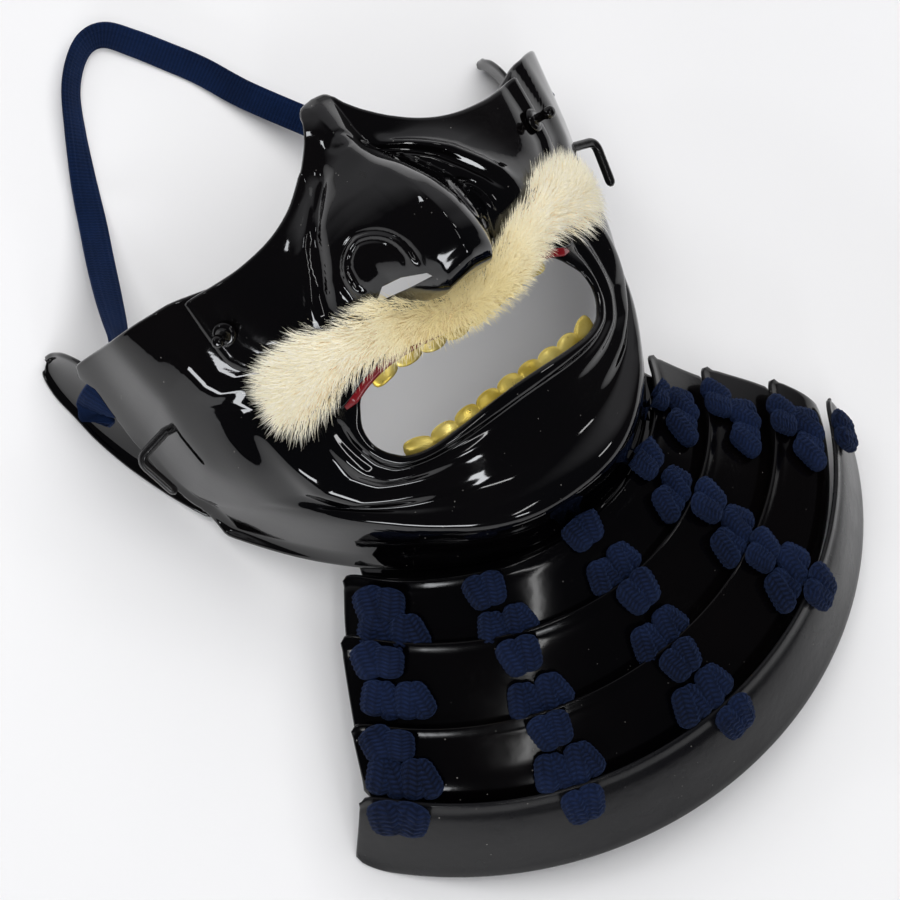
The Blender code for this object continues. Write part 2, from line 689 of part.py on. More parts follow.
def add_studs_and_hooks(collection, root):
    r = STUD_RADIUS
    profile = ((0.0, 7.4), (r * 0.6, 7.2), (r, 6.2), (r, 4.6), (r * 0.74, 3.0), (r * 0.8, 1.4), (r * 1.2, 0.6),
               (r * 1.2, 0.0), (0.0, 0.0))
    for side, word in ((-1, "left"), (1, "right")):
        place = face_place(np.array(side * STUD_AT[0]), np.array(STUD_AT[1]))
        normal = face_normal(*place)
        foot = face_point(*place) + normal * (PLATE_WALL + PLATE_GAP + 0.6)
        turned("stud_" + word, profile, foot, normal, BLACK_LACQUER, collection, root)
        place = face_place(np.array(side * HOOK_AT[0]), np.array(HOOK_AT[1]))
        foot = face_point(*place) + face_normal(*place) * (HOOK_RADIUS * 1.1)
        corner, end = tuck_right(np.array((HOOK_CORNER, HOOK_END)) * (side, 1, 1))
        arm = unit(foot - corner)
        leg = unit(end - corner)
        bend = [corner + arm * 3.4 * (1 - t) ** 2 + leg * 3.4 * t ** 2 for t in (0.0, 0.25, 0.5, 0.75, 1.0)]
        rod("hook_" + word, [foot, *bend, end], HOOK_RADIUS, BLACK_LACQUER, collection, root)


def add_ear_plates(collection, root):
    for side, word in ((-1, "left"), (1, "right")):
        row = table_at(EAR_PLATE, np.linspace(0, 1, 17))
        inner = np.stack([row[:, 1], row[:, 0], row[:, 2]], -1)
        outer = np.stack([row[:, 3], row[:, 0], row[:, 4]], -1)
        share = np.linspace(0, 1, 6)[:, None, None]
        point = inner[None] * (1 - share) + outer[None] * share
        # The leaf is a little hollow between its edges.
        point[..., 0] -= (1.2 * np.sin(math.pi * share[..., 0]))
        point = tuck_right(point * np.array((side, 1.0, 1.0)))
        if side > 0:
            point = point[:, ::-1]
        obj = make_shell("ear_plate_" + word, point, EAR_WALL, BLACK_LACQUER, collection, root)
        cut_at_floor(obj)


def guard_point(angle, down):
    # A point of the throat guard: arcs that widen from lame to lame.
    row = spline(np.arange(len(GUARD)), GUARD, down)
    half_width, depth, end_y, yaw, shift_x, end_z, mid_z = np.moveaxis(row, -1, 0)
    limit = math.radians(LAME_HALF_ANGLE)
    yaw = np.radians(yaw)
    share = (np.cos(angle) - math.cos(limit)) / (1 - math.cos(limit))
    x = half_width / math.sin(limit) * np.sin(angle)
    y = -depth * share
    z = end_z + (mid_z - end_z) * share
    return np.stack([shift_x + x * np.cos(yaw) - y * np.sin(yaw), end_y + x * np.sin(yaw) + y * np.cos(yaw), z], -1)


def guard_normal(angle, down):
    step = 1e-3
    last = len(GUARD) - 1.0
    across = guard_point(angle + step, down) - guard_point(angle - step, down)
    along = guard_point(angle, np.minimum(down + step, last)) - guard_point(angle, np.maximum(down - step, 0.0))
    return unit(np.cross(along, across))


def lame_lift(number, down):
    # A lame leans on the guard's surface: its top edge stands out, its bottom edge tucks in.
    top = number - 1.0
    last = number < LAME_COUNT
    length = 1.0 + LAME_OVERLAP if last else 1.0
    share = (down - top) / length
    return LAME_TILT * (1 - 2 * share) if last else LAME_TILT * (1 - share)


def lame_points(number, columns=31, rows=4):
    # One lame of the guard, top edge first. Its corners are rounded.
    across = np.linspace(-1, 1, columns)[None]
    share = np.linspace(0, 1, rows)[:, None]
    corner = 0.1 * np.clip((np.abs(across) - 0.94) / 0.06, 0, 1) ** 2
    top = number - 1.0 + (LAME_TOP * (1 - across ** 2) if number == 1 else 0.0) + corner
    bottom = number + (LAME_OVERLAP if number < LAME_COUNT else 0.0) - corner
    down = top * (1 - share) + bottom * share
    angle = math.radians(LAME_HALF_ANGLE) * across + 0 * share
    lift = lame_lift(number, down)
    return guard_point(angle, down) + guard_normal(angle, down) * lift[..., None]


def add_lames(collection, root):
    for number in range(1, LAME_COUNT + 1):
        finish = SATIN_BLACK if number == LAME_COUNT else BLACK_LACQUER
        obj = make_shell("lame_%d" % number, lame_points(number), LAME_WALL, finish, collection, root, True)
        if number == LAME_COUNT:
            cut_at_floor(obj)


def add_neck_band(collection, root):
    # A narrow band from inside the jaw's rim, under its edge, to inside the first lame.
    across = np.linspace(-1, 1, 27)
    angle = NECK_HALF_ANGLE * across
    inside = PLATE_WALL + 1.0
    end = LAST_SECTION + 0 * angle
    rim = face_point(angle, end)
    rim_down = unit(rim - face_point(angle, end - 0.1))
    under = end - 0.4
    guard_angle = math.radians(LAME_HALF_ANGLE - 4.0) * across
    near = 0.14 + 0 * angle
    far = 0.55 + 0 * angle
    rows = np.stack([
        face_point(angle, under) - face_normal(angle, under) * inside,
        rim - face_normal(angle, end - 0.01) * inside + rim_down * 1.5,
        guard_point(guard_angle, near) - guard_normal(guard_angle, near) * 2.0,
        guard_point(guard_angle, far) - guard_normal(guard_angle, far) * 1.8,
    ])
    make_shell("neck_band", rows, NECK_WALL, BLACK_LACQUER, collection, root, True)


def knot_mesh(name, lame, across, down, width, length, tip):
    # A flattened ball of cord that follows its lame. tip narrows its lower half.
    angle = across * math.radians(LAME_HALF_ANGLE)
    step = 1e-3
    centre = guard_point(np.array(angle), np.array(down))
    turn = np.linalg.norm(guard_point(np.array(angle + step), np.array(down)) - centre) / step
    fall = np.linalg.norm(guard_point(np.array(angle), np.array(down + step)) - centre) / step
    work = bmesh.new()
    bmesh.ops.create_uvsphere(work, u_segments=10, v_segments=5, radius=1.0)
    for vert in work.verts:
        u, v, w = vert.co
        narrow = 1 - tip * max(0.0, -v) + 0.5 * abs(tip) * max(0.0, v)
        at_angle = np.array(angle + u * narrow * width / 2 / turn)
        at_down = np.array(down - v * length / 2 / fall)
        rise = lame_lift(lame, at_down) + KNOT_CLEARANCE + KNOT_HEIGHT * 0.5 * (1 + w)
        vert.co = to_world(guard_point(at_angle, at_down) + guard_normal(at_angle, at_down) * rise)
    mesh = bpy.data.meshes.new(name)
    work.to_mesh(mesh)
    work.free()
    mesh.shade_smooth()
    return mesh


def add_lacing(collection, root):
    for word, table, tip in (("heart", HEARTS, HEART_TIP), ("pair", PAIRS, PAIR_TIP)):
        for lame, column, across, down, width, length in table:
            name = "%s_%d_%d" % (word, lame, column)
            mesh = knot_mesh(name, lame, across, down, width, length, tip)
            add_object(name, mesh, BLUE_CORD, collection, root)


def add_band(name, table, rows, collection, root, right_side=False):
    # A flat band on a smooth route. Its face leans as the table says.
    row = table_at(table, np.linspace(0, 1, rows))
    route = row[:, :3]
    lean = np.radians(row[:, 3])[:, None]
    along = unit(np.gradient(route, axis=0))
    level = unit(np.cross(np.array((0.0, 0.0, 1.0)), along))
    up = np.cross(along, level)
    wide = level * np.cos(lean) + up * np.sin(lean)
    thick = np.cross(along, wide)
    corners = ((-1, -1), (1, -1), (1, 1), (-1, 1))
    ring = np.stack([
        route + wide * (a * STRAP_WIDTH / 2) + thick * (b * STRAP_THICKNESS / 2) for a, b in corners
    ], 1)
    lowest = ring[..., 2].min(1)
    ring[..., 2] += np.maximum(FLOOR + 0.1 - lowest, 0)[:, None]
    if right_side:
        ring = tuck_right(ring * np.array((-1.0, 1.0, 1.0)))[:, ::-1]
    mesh = grid_mesh(name, ring, around=True, caps=True)
    add_object(name, mesh, NAVY_STRAP, collection, root)


def add_strap(collection, root):
    add_band("strap", STRAP, 67, collection, root)
    add_band("strap_turn_left", STRAP_TURN, 9, collection, root)
    add_band("strap_turn_right", STRAP_TURN, 9, collection, root, True)


def build():
    for old in list(bpy.data.objects):
        bpy.data.objects.remove(old, do_unlink=True)
    collection = bpy.data.collections.new("samurai_face_guard")
    cutters = bpy.data.collections.new("cutters")
    bpy.context.scene.collection.children.link(collection)
    bpy.context.scene.collection.children.link(cutters)
    root = bpy.data.objects.new("face_guard_root", None)
    collection.objects.link(root)
    add_plates(collection, cutters, root)
    add_upper_lip(collection, root)
    add_teeth(collection, root)
    add_moustache(collection, root)
    add_studs_and_hooks(collection, root)
    add_ear_plates(collection, root)
    add_neck_band(collection, root)
    add_lames(collection, root)
    add_lacing(collection, root)
    add_strap(collection, root)
    bpy.context.view_layer.update()


build()
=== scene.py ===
# Samurai face guard with a laced throat guard, lying face up on a pale table.
import math

import bmesh
import bpy
import numpy as np
from mathutils import Matrix, Vector


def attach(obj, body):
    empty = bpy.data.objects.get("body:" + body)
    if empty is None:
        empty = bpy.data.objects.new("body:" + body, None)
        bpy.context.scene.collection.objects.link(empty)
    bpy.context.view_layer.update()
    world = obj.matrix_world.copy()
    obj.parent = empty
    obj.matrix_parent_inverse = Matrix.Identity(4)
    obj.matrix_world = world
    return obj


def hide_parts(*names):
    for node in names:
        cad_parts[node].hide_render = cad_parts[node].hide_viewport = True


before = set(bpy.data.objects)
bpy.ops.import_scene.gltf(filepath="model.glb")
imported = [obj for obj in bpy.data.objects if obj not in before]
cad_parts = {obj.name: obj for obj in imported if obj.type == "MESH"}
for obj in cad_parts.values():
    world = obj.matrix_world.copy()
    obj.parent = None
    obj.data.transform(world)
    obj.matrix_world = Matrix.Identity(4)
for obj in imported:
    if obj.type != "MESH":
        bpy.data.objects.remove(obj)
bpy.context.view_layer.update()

mm = 0.001
place = np.array((-0.3, 20.8, -5))  # where the tables' origin stands, in millimetres

print("camera and helpers")


def unit(v):
    # v over its own length.
    return v / np.maximum(np.linalg.norm(v, axis=-1, keepdims=True), 1e-9)


def newObject(name, data):
    data.name = name
    obj = bpy.data.objects.new(name, data)
    bpy.context.scene.collection.objects.link(obj)
    return obj


camera = {
    "eye": (-0.29424, -0.13926, 0.99371),
    "lens": 138.44,
    "sensor": 36,
    "leanX": 16.34,  # degrees from straight down, toward -X
    "leanY": 9,
    "turn": 35.78,
}


def makeCamera():
    # The camera looks down b = (-tan leanX, -tan leanY, 1) and is turned about its own axis.
    leanX, leanY, turn = np.radians([camera[key] for key in ("leanX", "leanY", "turn")])
    back = unit(np.array((-np.tan(leanX), -np.tan(leanY), 1)))
    across = unit((1, 0, 0) - back * back[0])
    down = np.cross(-back, across)
    right = np.cos(turn) * across + np.sin(turn) * down
    up = np.sin(turn) * across - np.cos(turn) * down
    data = bpy.data.cameras.new("camera")
    data.lens, data.sensor_width, data.clip_start = camera["lens"], camera["sensor"], 0.01
    obj = newObject("camera", data)
    obj.matrix_world = Matrix([*np.stack([right, up, back, camera["eye"]], 1).tolist(), (0, 0, 0, 1)])
    bpy.context.scene.camera = obj


makeCamera()


def held(low, high, value):
    # (value - low) / (high - low), held between 0 and 1.
    return np.clip((value - low) / (high - low), 0, 1)


def smooth(low, high, value):
    # 3t^2 - 2t^3 of the held share t.
    t = held(low, high, value)
    return t * t * (3 - 2 * t)


def bump(value, middle, width):
    # exp(-((value - middle) / width)^2)
    return np.exp(-((value - middle) / width) ** 2)


def curveAt(knots, rows, at):
    # Cubic pieces through the rows, each row's slope taken from its neighbours.
    knots, rows, at = (np.asarray(a, float) for a in (knots, rows, at))
    slope = np.gradient(rows, knots, axis=0)
    i = np.clip(np.searchsorted(knots, at, side="right") - 1, 0, len(knots) - 2)
    step = knots[i + 1] - knots[i]
    f = (at - knots[i]) / step
    if rows.ndim == 2:
        step, f = step[..., None], f[..., None]
    a = rows[i] * (1 + 2 * f) + slope[i] * step * f
    b = rows[i + 1] * (3 - 2 * f) - slope[i + 1] * step * (1 - f)
    return a * (1 - f) ** 2 + b * f ** 2


def rowAt(table, at):
    # The table's rows stand at whole numbers of at.
    return curveAt(np.arange(len(table)), table, at)


def evenAt(table, share):
    # The table's rows stand at even steps of share, 0 to 1, with a cubic between them.
    return curveAt(np.linspace(0, 1, len(table)), table, share)


def straightAt(table, share):
    # As evenAt, with straight runs that keep the corners.
    knots = np.linspace(0, 1, len(table))
    return np.stack([np.interp(share, knots, column) for column in np.asarray(table).T], -1)


def turns(count):
    # Even angles once round, the first one not repeated.
    return np.linspace(0, 2 * math.pi, count, endpoint=False)


def carry(route, first, second, x, y):
    # A section's points (x, y) carried along a route: route + first x + second y.
    return route[:, None] + first[:, None] * x[..., None] + second[:, None] * y[..., None]


def gridQuads(rows, columns, around=False):
    # Corner numbers of the cells of a grid, rows first.
    r, c = np.meshgrid(np.arange(rows - 1), np.arange(columns if around else columns - 1), indexing="ij")
    n, top, bottom = (c + 1) % columns, r * columns, (r + 1) * columns
    return np.stack([top + c, top + n, bottom + n, bottom + c], -1).reshape(-1, 4)


def newMesh(points, quads, caps=(), uv=None):
    # Points are in the tables' millimetres. uv holds one pair of numbers for each point.
    mesh = bpy.data.meshes.new("piece")
    points = (np.asarray(points, float).reshape(-1, 3) + place) * mm
    mesh.from_pydata(points, [], [*np.asarray(quads).tolist(), *caps])
    if uv is not None:
        corner = np.empty(len(mesh.loops), np.int32)
        mesh.loops.foreach_get("vertex_index", corner)
        layer = mesh.uv_layers.new(name="along")
        layer.data.foreach_set("uv", np.asarray(uv, np.float32).reshape(-1, 2)[corner].ravel())
    work = bmesh.new()
    work.from_mesh(mesh)
    if work.calc_volume(signed=True) < 0:
        bmesh.ops.reverse_faces(work, faces=work.faces)
    work.to_mesh(mesh)
    work.free()
    mesh.shade_smooth()
    return mesh


def addPiece(name, mesh, material, node):
    # A finished piece rides on the one body and stands for the node named.
    obj = newObject(name, mesh)
    mesh.materials.append(material)
    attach(obj, "root")
    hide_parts(node)
    return obj


def addPairs(slot, *pieces):
    # Left and right pieces from functions of the side, which is -1 on the left and 1 on the right.
    # pieces: name, node, function, material.
    return [addPiece(name + word.title(), meshOf(side), material, node + "_" + word)
            for side, word in ((-1, "left"), (1, "right")) for name, node, meshOf, material in pieces]


def borderLoop(top, bottom, left, right):
    # Rows and columns of the points round a block of cells, in turning order.
    across, down = np.arange(left, right), np.arange(top, bottom)
    i = np.concatenate([0 * across + top, down, 0 * across + bottom, down[::-1] + 1])
    j = np.concatenate([across, 0 * down + right, across[::-1] + 1, 0 * down + left])
    return i, j


def shellMesh(outer, wall, normal=None, steps=4):
    # Outer face p, inner face p - w n, and round the border the half circle
    # p - w/2 n + w/2 (n cos t + e sin t), where e points out of the border.
    rows, columns = outer.shape[:2]
    if normal is None:
        normal = unit(np.cross(np.gradient(outer, axis=1), np.gradient(outer, axis=0)))
        normal = normal * np.sign(normal[..., 2].sum())
    i, j = borderLoop(0, rows - 1, 0, columns - 1)
    rim, up = outer[i, j], normal[i, j]
    out = rim - outer[np.clip(i, 1, rows - 2), np.clip(j, 1, columns - 2)]
    along = unit(np.roll(rim, -1, 0) - np.roll(rim, 1, 0))
    corner = ((i == 0) | (i == rows - 1)) & ((j == 0) | (j == columns - 1))
    out = out - along * (out * along).sum(-1, keepdims=True) * ~corner[:, None]
    out = unit(out - up * (out * up).sum(-1, keepdims=True))
    turn = np.linspace(0, math.pi, steps + 1)[1:-1, None, None]
    loops = rim - up * wall / 2 + wall / 2 * (up * np.cos(turn) + out * np.sin(turn))
    count, size = len(i), rows * columns
    last = size + (steps - 1) * count
    points = np.concatenate([outer.reshape(-1, 3), loops.reshape(-1, 3), (outer - wall * normal).reshape(-1, 3)])
    face = gridQuads(rows, columns)
    ring = size + np.arange((steps - 1) * count).reshape(-1, count)
    ring = np.concatenate([[i * columns + j], ring, [last + i * columns + j]])
    after = np.roll(ring, -1, 1)
    side = np.stack([after[:-1], ring[:-1], ring[1:], after[1:]], -1).reshape(-1, 4)
    return newMesh(points, np.concatenate([face, side, face[:, ::-1] + last]))


def tubeMesh(rings, uv=None):
    # A tube through rings of points, capped at both ends.
    rows, columns = rings.shape[:2]
    caps = [list(range(columns))[::-1], [(rows - 1) * columns + c for c in range(columns)]]
    return newMesh(rings, gridQuads(rows, columns, around=True), caps, uv)


print("materials")


def addNode(tree, kind, inputs=None, **settings):
    # A value that is a socket is linked, any other is set on the input.
    node = tree.nodes.new("ShaderNode" + kind)
    for key, value in settings.items():
        setattr(node, key, value)
    for key, value in (inputs or {}).items():
        if isinstance(value, bpy.types.NodeSocket):
            tree.links.new(value, node.inputs[key])
        else:
            node.inputs[key].default_value = value
    return node


def calc(tree, operation, *values):
    return addNode(tree, "Math", dict(enumerate(values)), operation=operation).outputs[0]


def times(tree, *values):
    return calc(tree, "MULTIPLY", *values)


def plus(tree, *values):
    return calc(tree, "ADD", *values)


def ramp(tree, value, low, high, toLow=0, toHigh=1):
    # toLow at low, toHigh at high, straight between them and held outside.
    keys = {"Value": value, "From Min": low, "From Max": high, "To Min": toLow, "To Max": toHigh}
    return addNode(tree, "MapRange", keys).outputs[0]


def noise(tree, vector, scale, detail=2, rough=0.5):
    keys = {"Vector": vector, "Scale": scale, "Detail": detail, "Roughness": rough}
    return addNode(tree, "TexNoise", keys).outputs[0]


def mixColour(tree, share, first, second):
    return addNode(tree, "Mix", {0: share, 6: first, 7: second}, data_type="RGBA").outputs[2]


def newGroup(name, inputs, outputs):
    # inputs: name and starting value, outputs: names of plain numbers.
    group = bpy.data.node_groups.new(name, "ShaderNodeTree")
    group.interface.new_socket(name="Coordinates", in_out="INPUT", socket_type="NodeSocketVector")
    for label, value in inputs:
        socket = group.interface.new_socket(name=label, in_out="INPUT", socket_type="NodeSocketFloat")
        socket.default_value = value
    for label in outputs:
        group.interface.new_socket(name=label, in_out="OUTPUT", socket_type="NodeSocketFloat")
    return group, group.nodes.new("NodeGroupInput").outputs, group.nodes.new("NodeGroupOutput").inputs


def lacquerGroup():
    # Smears are slow noise, dust is the rare bright cells of a fine Voronoi pattern,
    # scratches are thin lines in noise that is stretched along X, peel is a shallow 2 mm noise.
    group, given, out = newGroup(
        "lacquerWear", (("Dust", 0.3), ("Scratches", 0.3), ("Peel", 0.5)), ("Smear", "Dust", "Scratch", "Height"))
    at = given["Coordinates"]
    smear = ramp(group, noise(group, at, 28, 4, 0.6), 0.42, 0.68)
    speck = addNode(group, "TexVoronoi", {"Vector": at, "Scale": 900, "Randomness": 1})
    shade = addNode(group, "SeparateColor", {0: speck.outputs["Color"]}).outputs[0]
    rare = calc(group, "GREATER_THAN", shade, 0.975)
    dot = times(group, rare, ramp(group, speck.outputs["Distance"], 0.22, 0.1))
    dusty = ramp(group, noise(group, at, 45), 0.4, 0.65)
    dust = times(group, times(group, dot, given["Dust"]), dusty)
    turned = addNode(group, "Mapping", {0: at, "Rotation": (0.3, 0.2, 0.7), "Scale": (40, 900, 900)}).outputs[0]
    line = ramp(group, calc(group, "ABSOLUTE", calc(group, "SUBTRACT", noise(group, turned, 1), 0.5)), 0.006, 0)
    patch = ramp(group, noise(group, at, 35), 0.6, 0.7)
    scratch = times(group, times(group, line, patch), given["Scratches"])
    peel = times(group, noise(group, at, 420, 1), given["Peel"])
    wave = times(group, noise(group, at, 130, 1), times(group, given["Peel"], 2.2))
    height = calc(group, "SUBTRACT", plus(group, peel, wave), times(group, scratch, 0.3))
    for label, value in (("Smear", smear), ("Dust", dust), ("Scratch", scratch), ("Height", height)):
        group.links.new(value, out[label])
    return group


def knitGroup():
    # Columns of V stitches: the wave sin(v along + pingpong(u across)) times the column's arch,
    # with fine fibres of noise over it.
    group, given, out = newGroup(
        "knitStitch", (("Across", 6), ("Along", 10), ("Slant", 1.2), ("Fibre", 0.4)), ("Height", "PaintedShade", "Fuzz"))
    parts = addNode(group, "SeparateXYZ", {0: given["Coordinates"]}).outputs
    u = times(group, parts[0], given["Across"])
    v = times(group, parts[1], given["Along"])
    fold = calc(group, "PINGPONG", u, 0.5)
    phase = plus(group, v, times(group, fold, given["Slant"]))
    wave = ramp(group, calc(group, "SINE", times(group, phase, 2 * math.pi)), -1, 1)
    arch = calc(group, "SQRT", times(group, calc(group, "PINGPONG", u, 0.5), 2))
    half = calc(group, "SQRT", times(group, calc(group, "PINGPONG", plus(group, u, 0.5), 0.5), 2))
    shape = times(group, calc(group, "POWER", wave, 0.7), times(group, arch, half))
    bent = addNode(group, "CombineXYZ", {0: times(group, u, 3), 1: phase}).outputs[0]
    fibre = noise(group, bent, 5, 3, 0.7)
    fuzz = times(group, fibre, given["Fibre"])
    group.links.new(plus(group, shape, fuzz), out["Height"])
    # This output is the stitch shape as painted shade: dark in the hollows, light on the crowns.
    group.links.new(ramp(group, shape, 0.05, 0.7), out["PaintedShade"])
    group.links.new(fibre, out["Fuzz"])
    return group


lacquerWear, knitStitch = lacquerGroup(), knitGroup()


def newMaterial(name, source="Object", **values):
    # A Principled material with its coordinates. The values go straight on the shader.
    material = bpy.data.materials.new(name)
    material.use_nodes = True
    tree = material.node_tree
    shader = tree.nodes["Principled BSDF"]
    for key, value in values.items():
        shader.inputs[key.replace("_", " ")].default_value = value
    if source == "Object":
        at = addNode(tree, "TexCoord").outputs["Object"]
    else:
        at = addNode(tree, "UVMap", uv_map=source).outputs[0]
    return material, tree, shader, at


def wearOf(tree, group, at, **values):
    node = tree.nodes.new("ShaderNodeGroup")
    node.node_tree = group
    tree.links.new(at, node.inputs["Coordinates"])
    for key, value in values.items():
        node.inputs[key].default_value = value
    return node.outputs


def addBump(tree, shader, height, strength, distance):
    keys = {"Height": height, "Strength": strength, "Distance": distance}
    tree.links.new(addNode(tree, "Bump", keys).outputs[0], shader.inputs["Normal"])


lacquer = {
    # columns: the two tones, roughness from, to, IOR
    "gloss": ((0.0008, 0.0008, 0.0011), (0.0022, 0.0017, 0.0018), 0.03, 0.09, 1.55),
    "hard": ((0.0006, 0.0006, 0.0009), (0.0016, 0.0012, 0.0013), 0.1, 0.18, 1.4),
    "satin": ((0.004, 0.004, 0.005), (0.008, 0.008, 0.0088), 0.24, 0.34, 1.38),
    "iron": ((0.004, 0.004, 0.0045), (0.012, 0.011, 0.011), 0.16, 0.3, 1.5),
    "red": ((0.17, 0.004, 0.008), (0.32, 0.018, 0.024), 0.14, 0.34, 1.5),
}


def lacquerMaterial(name, finish, dust, scratches, peel):
    # Two tones over slow noise, greyed by dust. Smears and scratches roughen the gloss.
    low, high, smoothest, roughest, index = lacquer[finish]
    material, tree, shader, at = newMaterial(name, IOR=index)
    wear = wearOf(tree, lacquerWear, at, Dust=dust, Scratches=scratches, Peel=peel)
    tone = mixColour(tree, ramp(tree, noise(tree, at, 16, 3), 0.35, 0.7), (*low, 1), (*high, 1))
    dusty = mixColour(tree, wear["Dust"], tone, (0.5, 0.48, 0.45, 1))
    tree.links.new(mixColour(tree, wear["Scratch"], dusty, (0.03, 0.03, 0.03, 1)), shader.inputs["Base Color"])
    gloss = ramp(tree, wear["Smear"], 0, 1, smoothest, roughest)
    rougher = plus(tree, gloss, times(tree, plus(tree, wear["Dust"], wear["Scratch"]), 0.3))
    tree.links.new(rougher, shader.inputs["Roughness"])
    addBump(tree, shader, wear["Height"], 0.5, 0.00006)
    return material


def goldMaterial():
    # Leaf over lacquer: a warm metal whose tone and roughness wander, with red showing through wear.
    material, tree, shader, at = newMaterial("goldLeaf", Metallic=0.75)
    wear = wearOf(tree, lacquerWear, at, Dust=0.2, Scratches=0.5, Peel=1)
    patchy = ramp(tree, noise(tree, at, 160, 3), 0.35, 0.7)
    tone = mixColour(tree, patchy, (0.66, 0.48, 0.07, 1), (0.95, 0.78, 0.24, 1))
    worn = ramp(tree, noise(tree, at, 300, 4, 0.7), 0.66, 0.74, 0, 0.6)
    tree.links.new(mixColour(tree, worn, tone, (0.3, 0.1, 0.03, 1)), shader.inputs["Base Color"])
    tree.links.new(ramp(tree, noise(tree, at, 240, 2), 0.3, 0.7, 0.26, 0.42), shader.inputs["Roughness"])
    leaf = plus(tree, wear["Height"], noise(tree, at, 700, 3))
    addBump(tree, shader, leaf, 0.5, 0.00006)
    return material


def cordMaterial(name, dark, light, across, along, slant, depth):
    # Yarn: painted shade darkens the stitches' hollows and their crowns are painted light, with a soft sheen of
    # fibres.
    material, tree, shader, at = newMaterial(
        name, "along", Roughness=0.88, Specular_IOR_Level=0.2,
        Sheen_Weight=0.22, Sheen_Roughness=0.4, Sheen_Tint=(0.12, 0.2, 0.48, 1))
    knit = wearOf(tree, knitStitch, at, Across=across, Along=along, Slant=slant, Fibre=0.5)
    spot = addNode(tree, "TexCoord").outputs["Object"]
    # The stitches' painted shade, broken by fibre noise and with random wear added, picks the yarn's tone.
    shade = times(tree, knit["PaintedShade"], ramp(tree, noise(tree, spot, 600, 3, 0.7), 0.3, 0.7, 0.6, 1))
    worn = ramp(tree, noise(tree, spot, 60, 2), 0.4, 0.7, 0, 0.35)
    tone = mixColour(tree, plus(tree, shade, worn), (*dark, 1), (*light, 1))
    tree.links.new(tone, shader.inputs["Base Color"])
    hair = times(tree, noise(tree, spot, 2600, 2, 0.8), 0.5)
    addBump(tree, shader, plus(tree, knit["Height"], hair), 0.9, depth)
    return material


def furMaterial():
    # Straw-brown roots run to cream tips. Each hair has its own tone.
    # Thin hairs pass light on to each other, which a small even painted glow in the fur's tone stands in for.
    material, tree, shader, at = newMaterial(
        "creamFur", "along", Roughness=0.6, Emission_Strength=0.12,
        Sheen_Weight=0.7, Sheen_Roughness=0.6, Sheen_Tint=(1, 0.95, 0.8, 1))
    parts = addNode(tree, "SeparateXYZ", {0: at}).outputs
    root = mixColour(tree, parts[1], (0.8, 0.6, 0.25, 1), (0.97, 0.85, 0.55, 1))
    tip = mixColour(tree, parts[1], (0.95, 0.89, 0.68, 1), (0.99, 0.97, 0.87, 1))
    tone = mixColour(tree, ramp(tree, parts[0], 0.05, 0.6), root, tip)
    # The middle of the band is straw yellow.
    spot = addNode(tree, "SeparateXYZ", {0: addNode(tree, "TexCoord").outputs["Object"]}).outputs[0]
    middle = ramp(tree, calc(tree, "ABSOLUTE", spot), 0.012, 0.036, 0.75, 0)
    tone = mixColour(tree, middle, tone, (0.86, 0.73, 0.33, 1))
    tree.links.new(tone, shader.inputs["Base Color"])
    # The same tone feeds the painted glow.
    tree.links.new(tone, shader.inputs["Emission Color"])
    return material


def plainMaterial(name, roughness, patches, tones, grain):
    # Two tones over noise, and a fine noise as relief.
    # patches: scale, noise at the first tone and at the second. grain: scale, strength, distance.
    material, tree, shader, at = newMaterial(name, Roughness=roughness)
    tone = mixColour(tree, ramp(tree, noise(tree, at, patches[0], 3), *patches[1:]), *tones)
    tree.links.new(tone, shader.inputs["Base Color"])
    addBump(tree, shader, noise(tree, at, grain[0]), *grain[1:])
    return material


blackLacquer = lacquerMaterial("blackLacquer", "gloss", 0.4, 0.4, 0.35)
hardLacquer = lacquerMaterial("hardLacquer", "hard", 0.4, 0.4, 0.5)
satinBlack = lacquerMaterial("satinBlack", "satin", 0.7, 0.6, 1.5)
blackIron = lacquerMaterial("blackIron", "iron", 0.5, 0.6, 1.5)
redLacquer = lacquerMaterial("redLacquer", "red", 0.4, 0.3, 1.5)
goldLeaf = goldMaterial()
# Cords: tone of the painted shade in the hollows, tone of the crowns, stitches across, along, slant, depth.
blueCord = cordMaterial("blueCord", (0.0016, 0.003, 0.009), (0.0075, 0.0165, 0.056), 5, 9, 1.3, 0.0005)
navyStrap = cordMaterial("navyStrap", (0.0012, 0.005, 0.02), (0.005, 0.02, 0.078), 22, 0.9, 1, 0.00022)
creamFur = furMaterial()
# The pelt between the hairs is seen only as a dark straw ground.
furGround = plainMaterial("furGround", 0.8, (500, 0, 1), ((0.62, 0.44, 0.18, 1), (0.9, 0.76, 0.46, 1)),
                          (1400, 0.8, 0.0004))
paleTable = plainMaterial("paleTable", 0.6, (3, 0.3, 0.7), ((0.8, 0.8, 0.815, 1), (0.83, 0.83, 0.84, 1)),
                          (900, 0.1, 0.0001))

print("strap")

rightTuck = 2.2  # how far the right side stands in
strap = {
    "width": 8.8,
    "thickness": 2,
    "ribs": 5,  # lengthwise, on each flat face
    "ribDepth": 0.16,
    "rows": 340,
    "turnRows": 30,
    "turnWidth": 12.5,
    "turnThickness": 3.8,
    "around": 48,
}
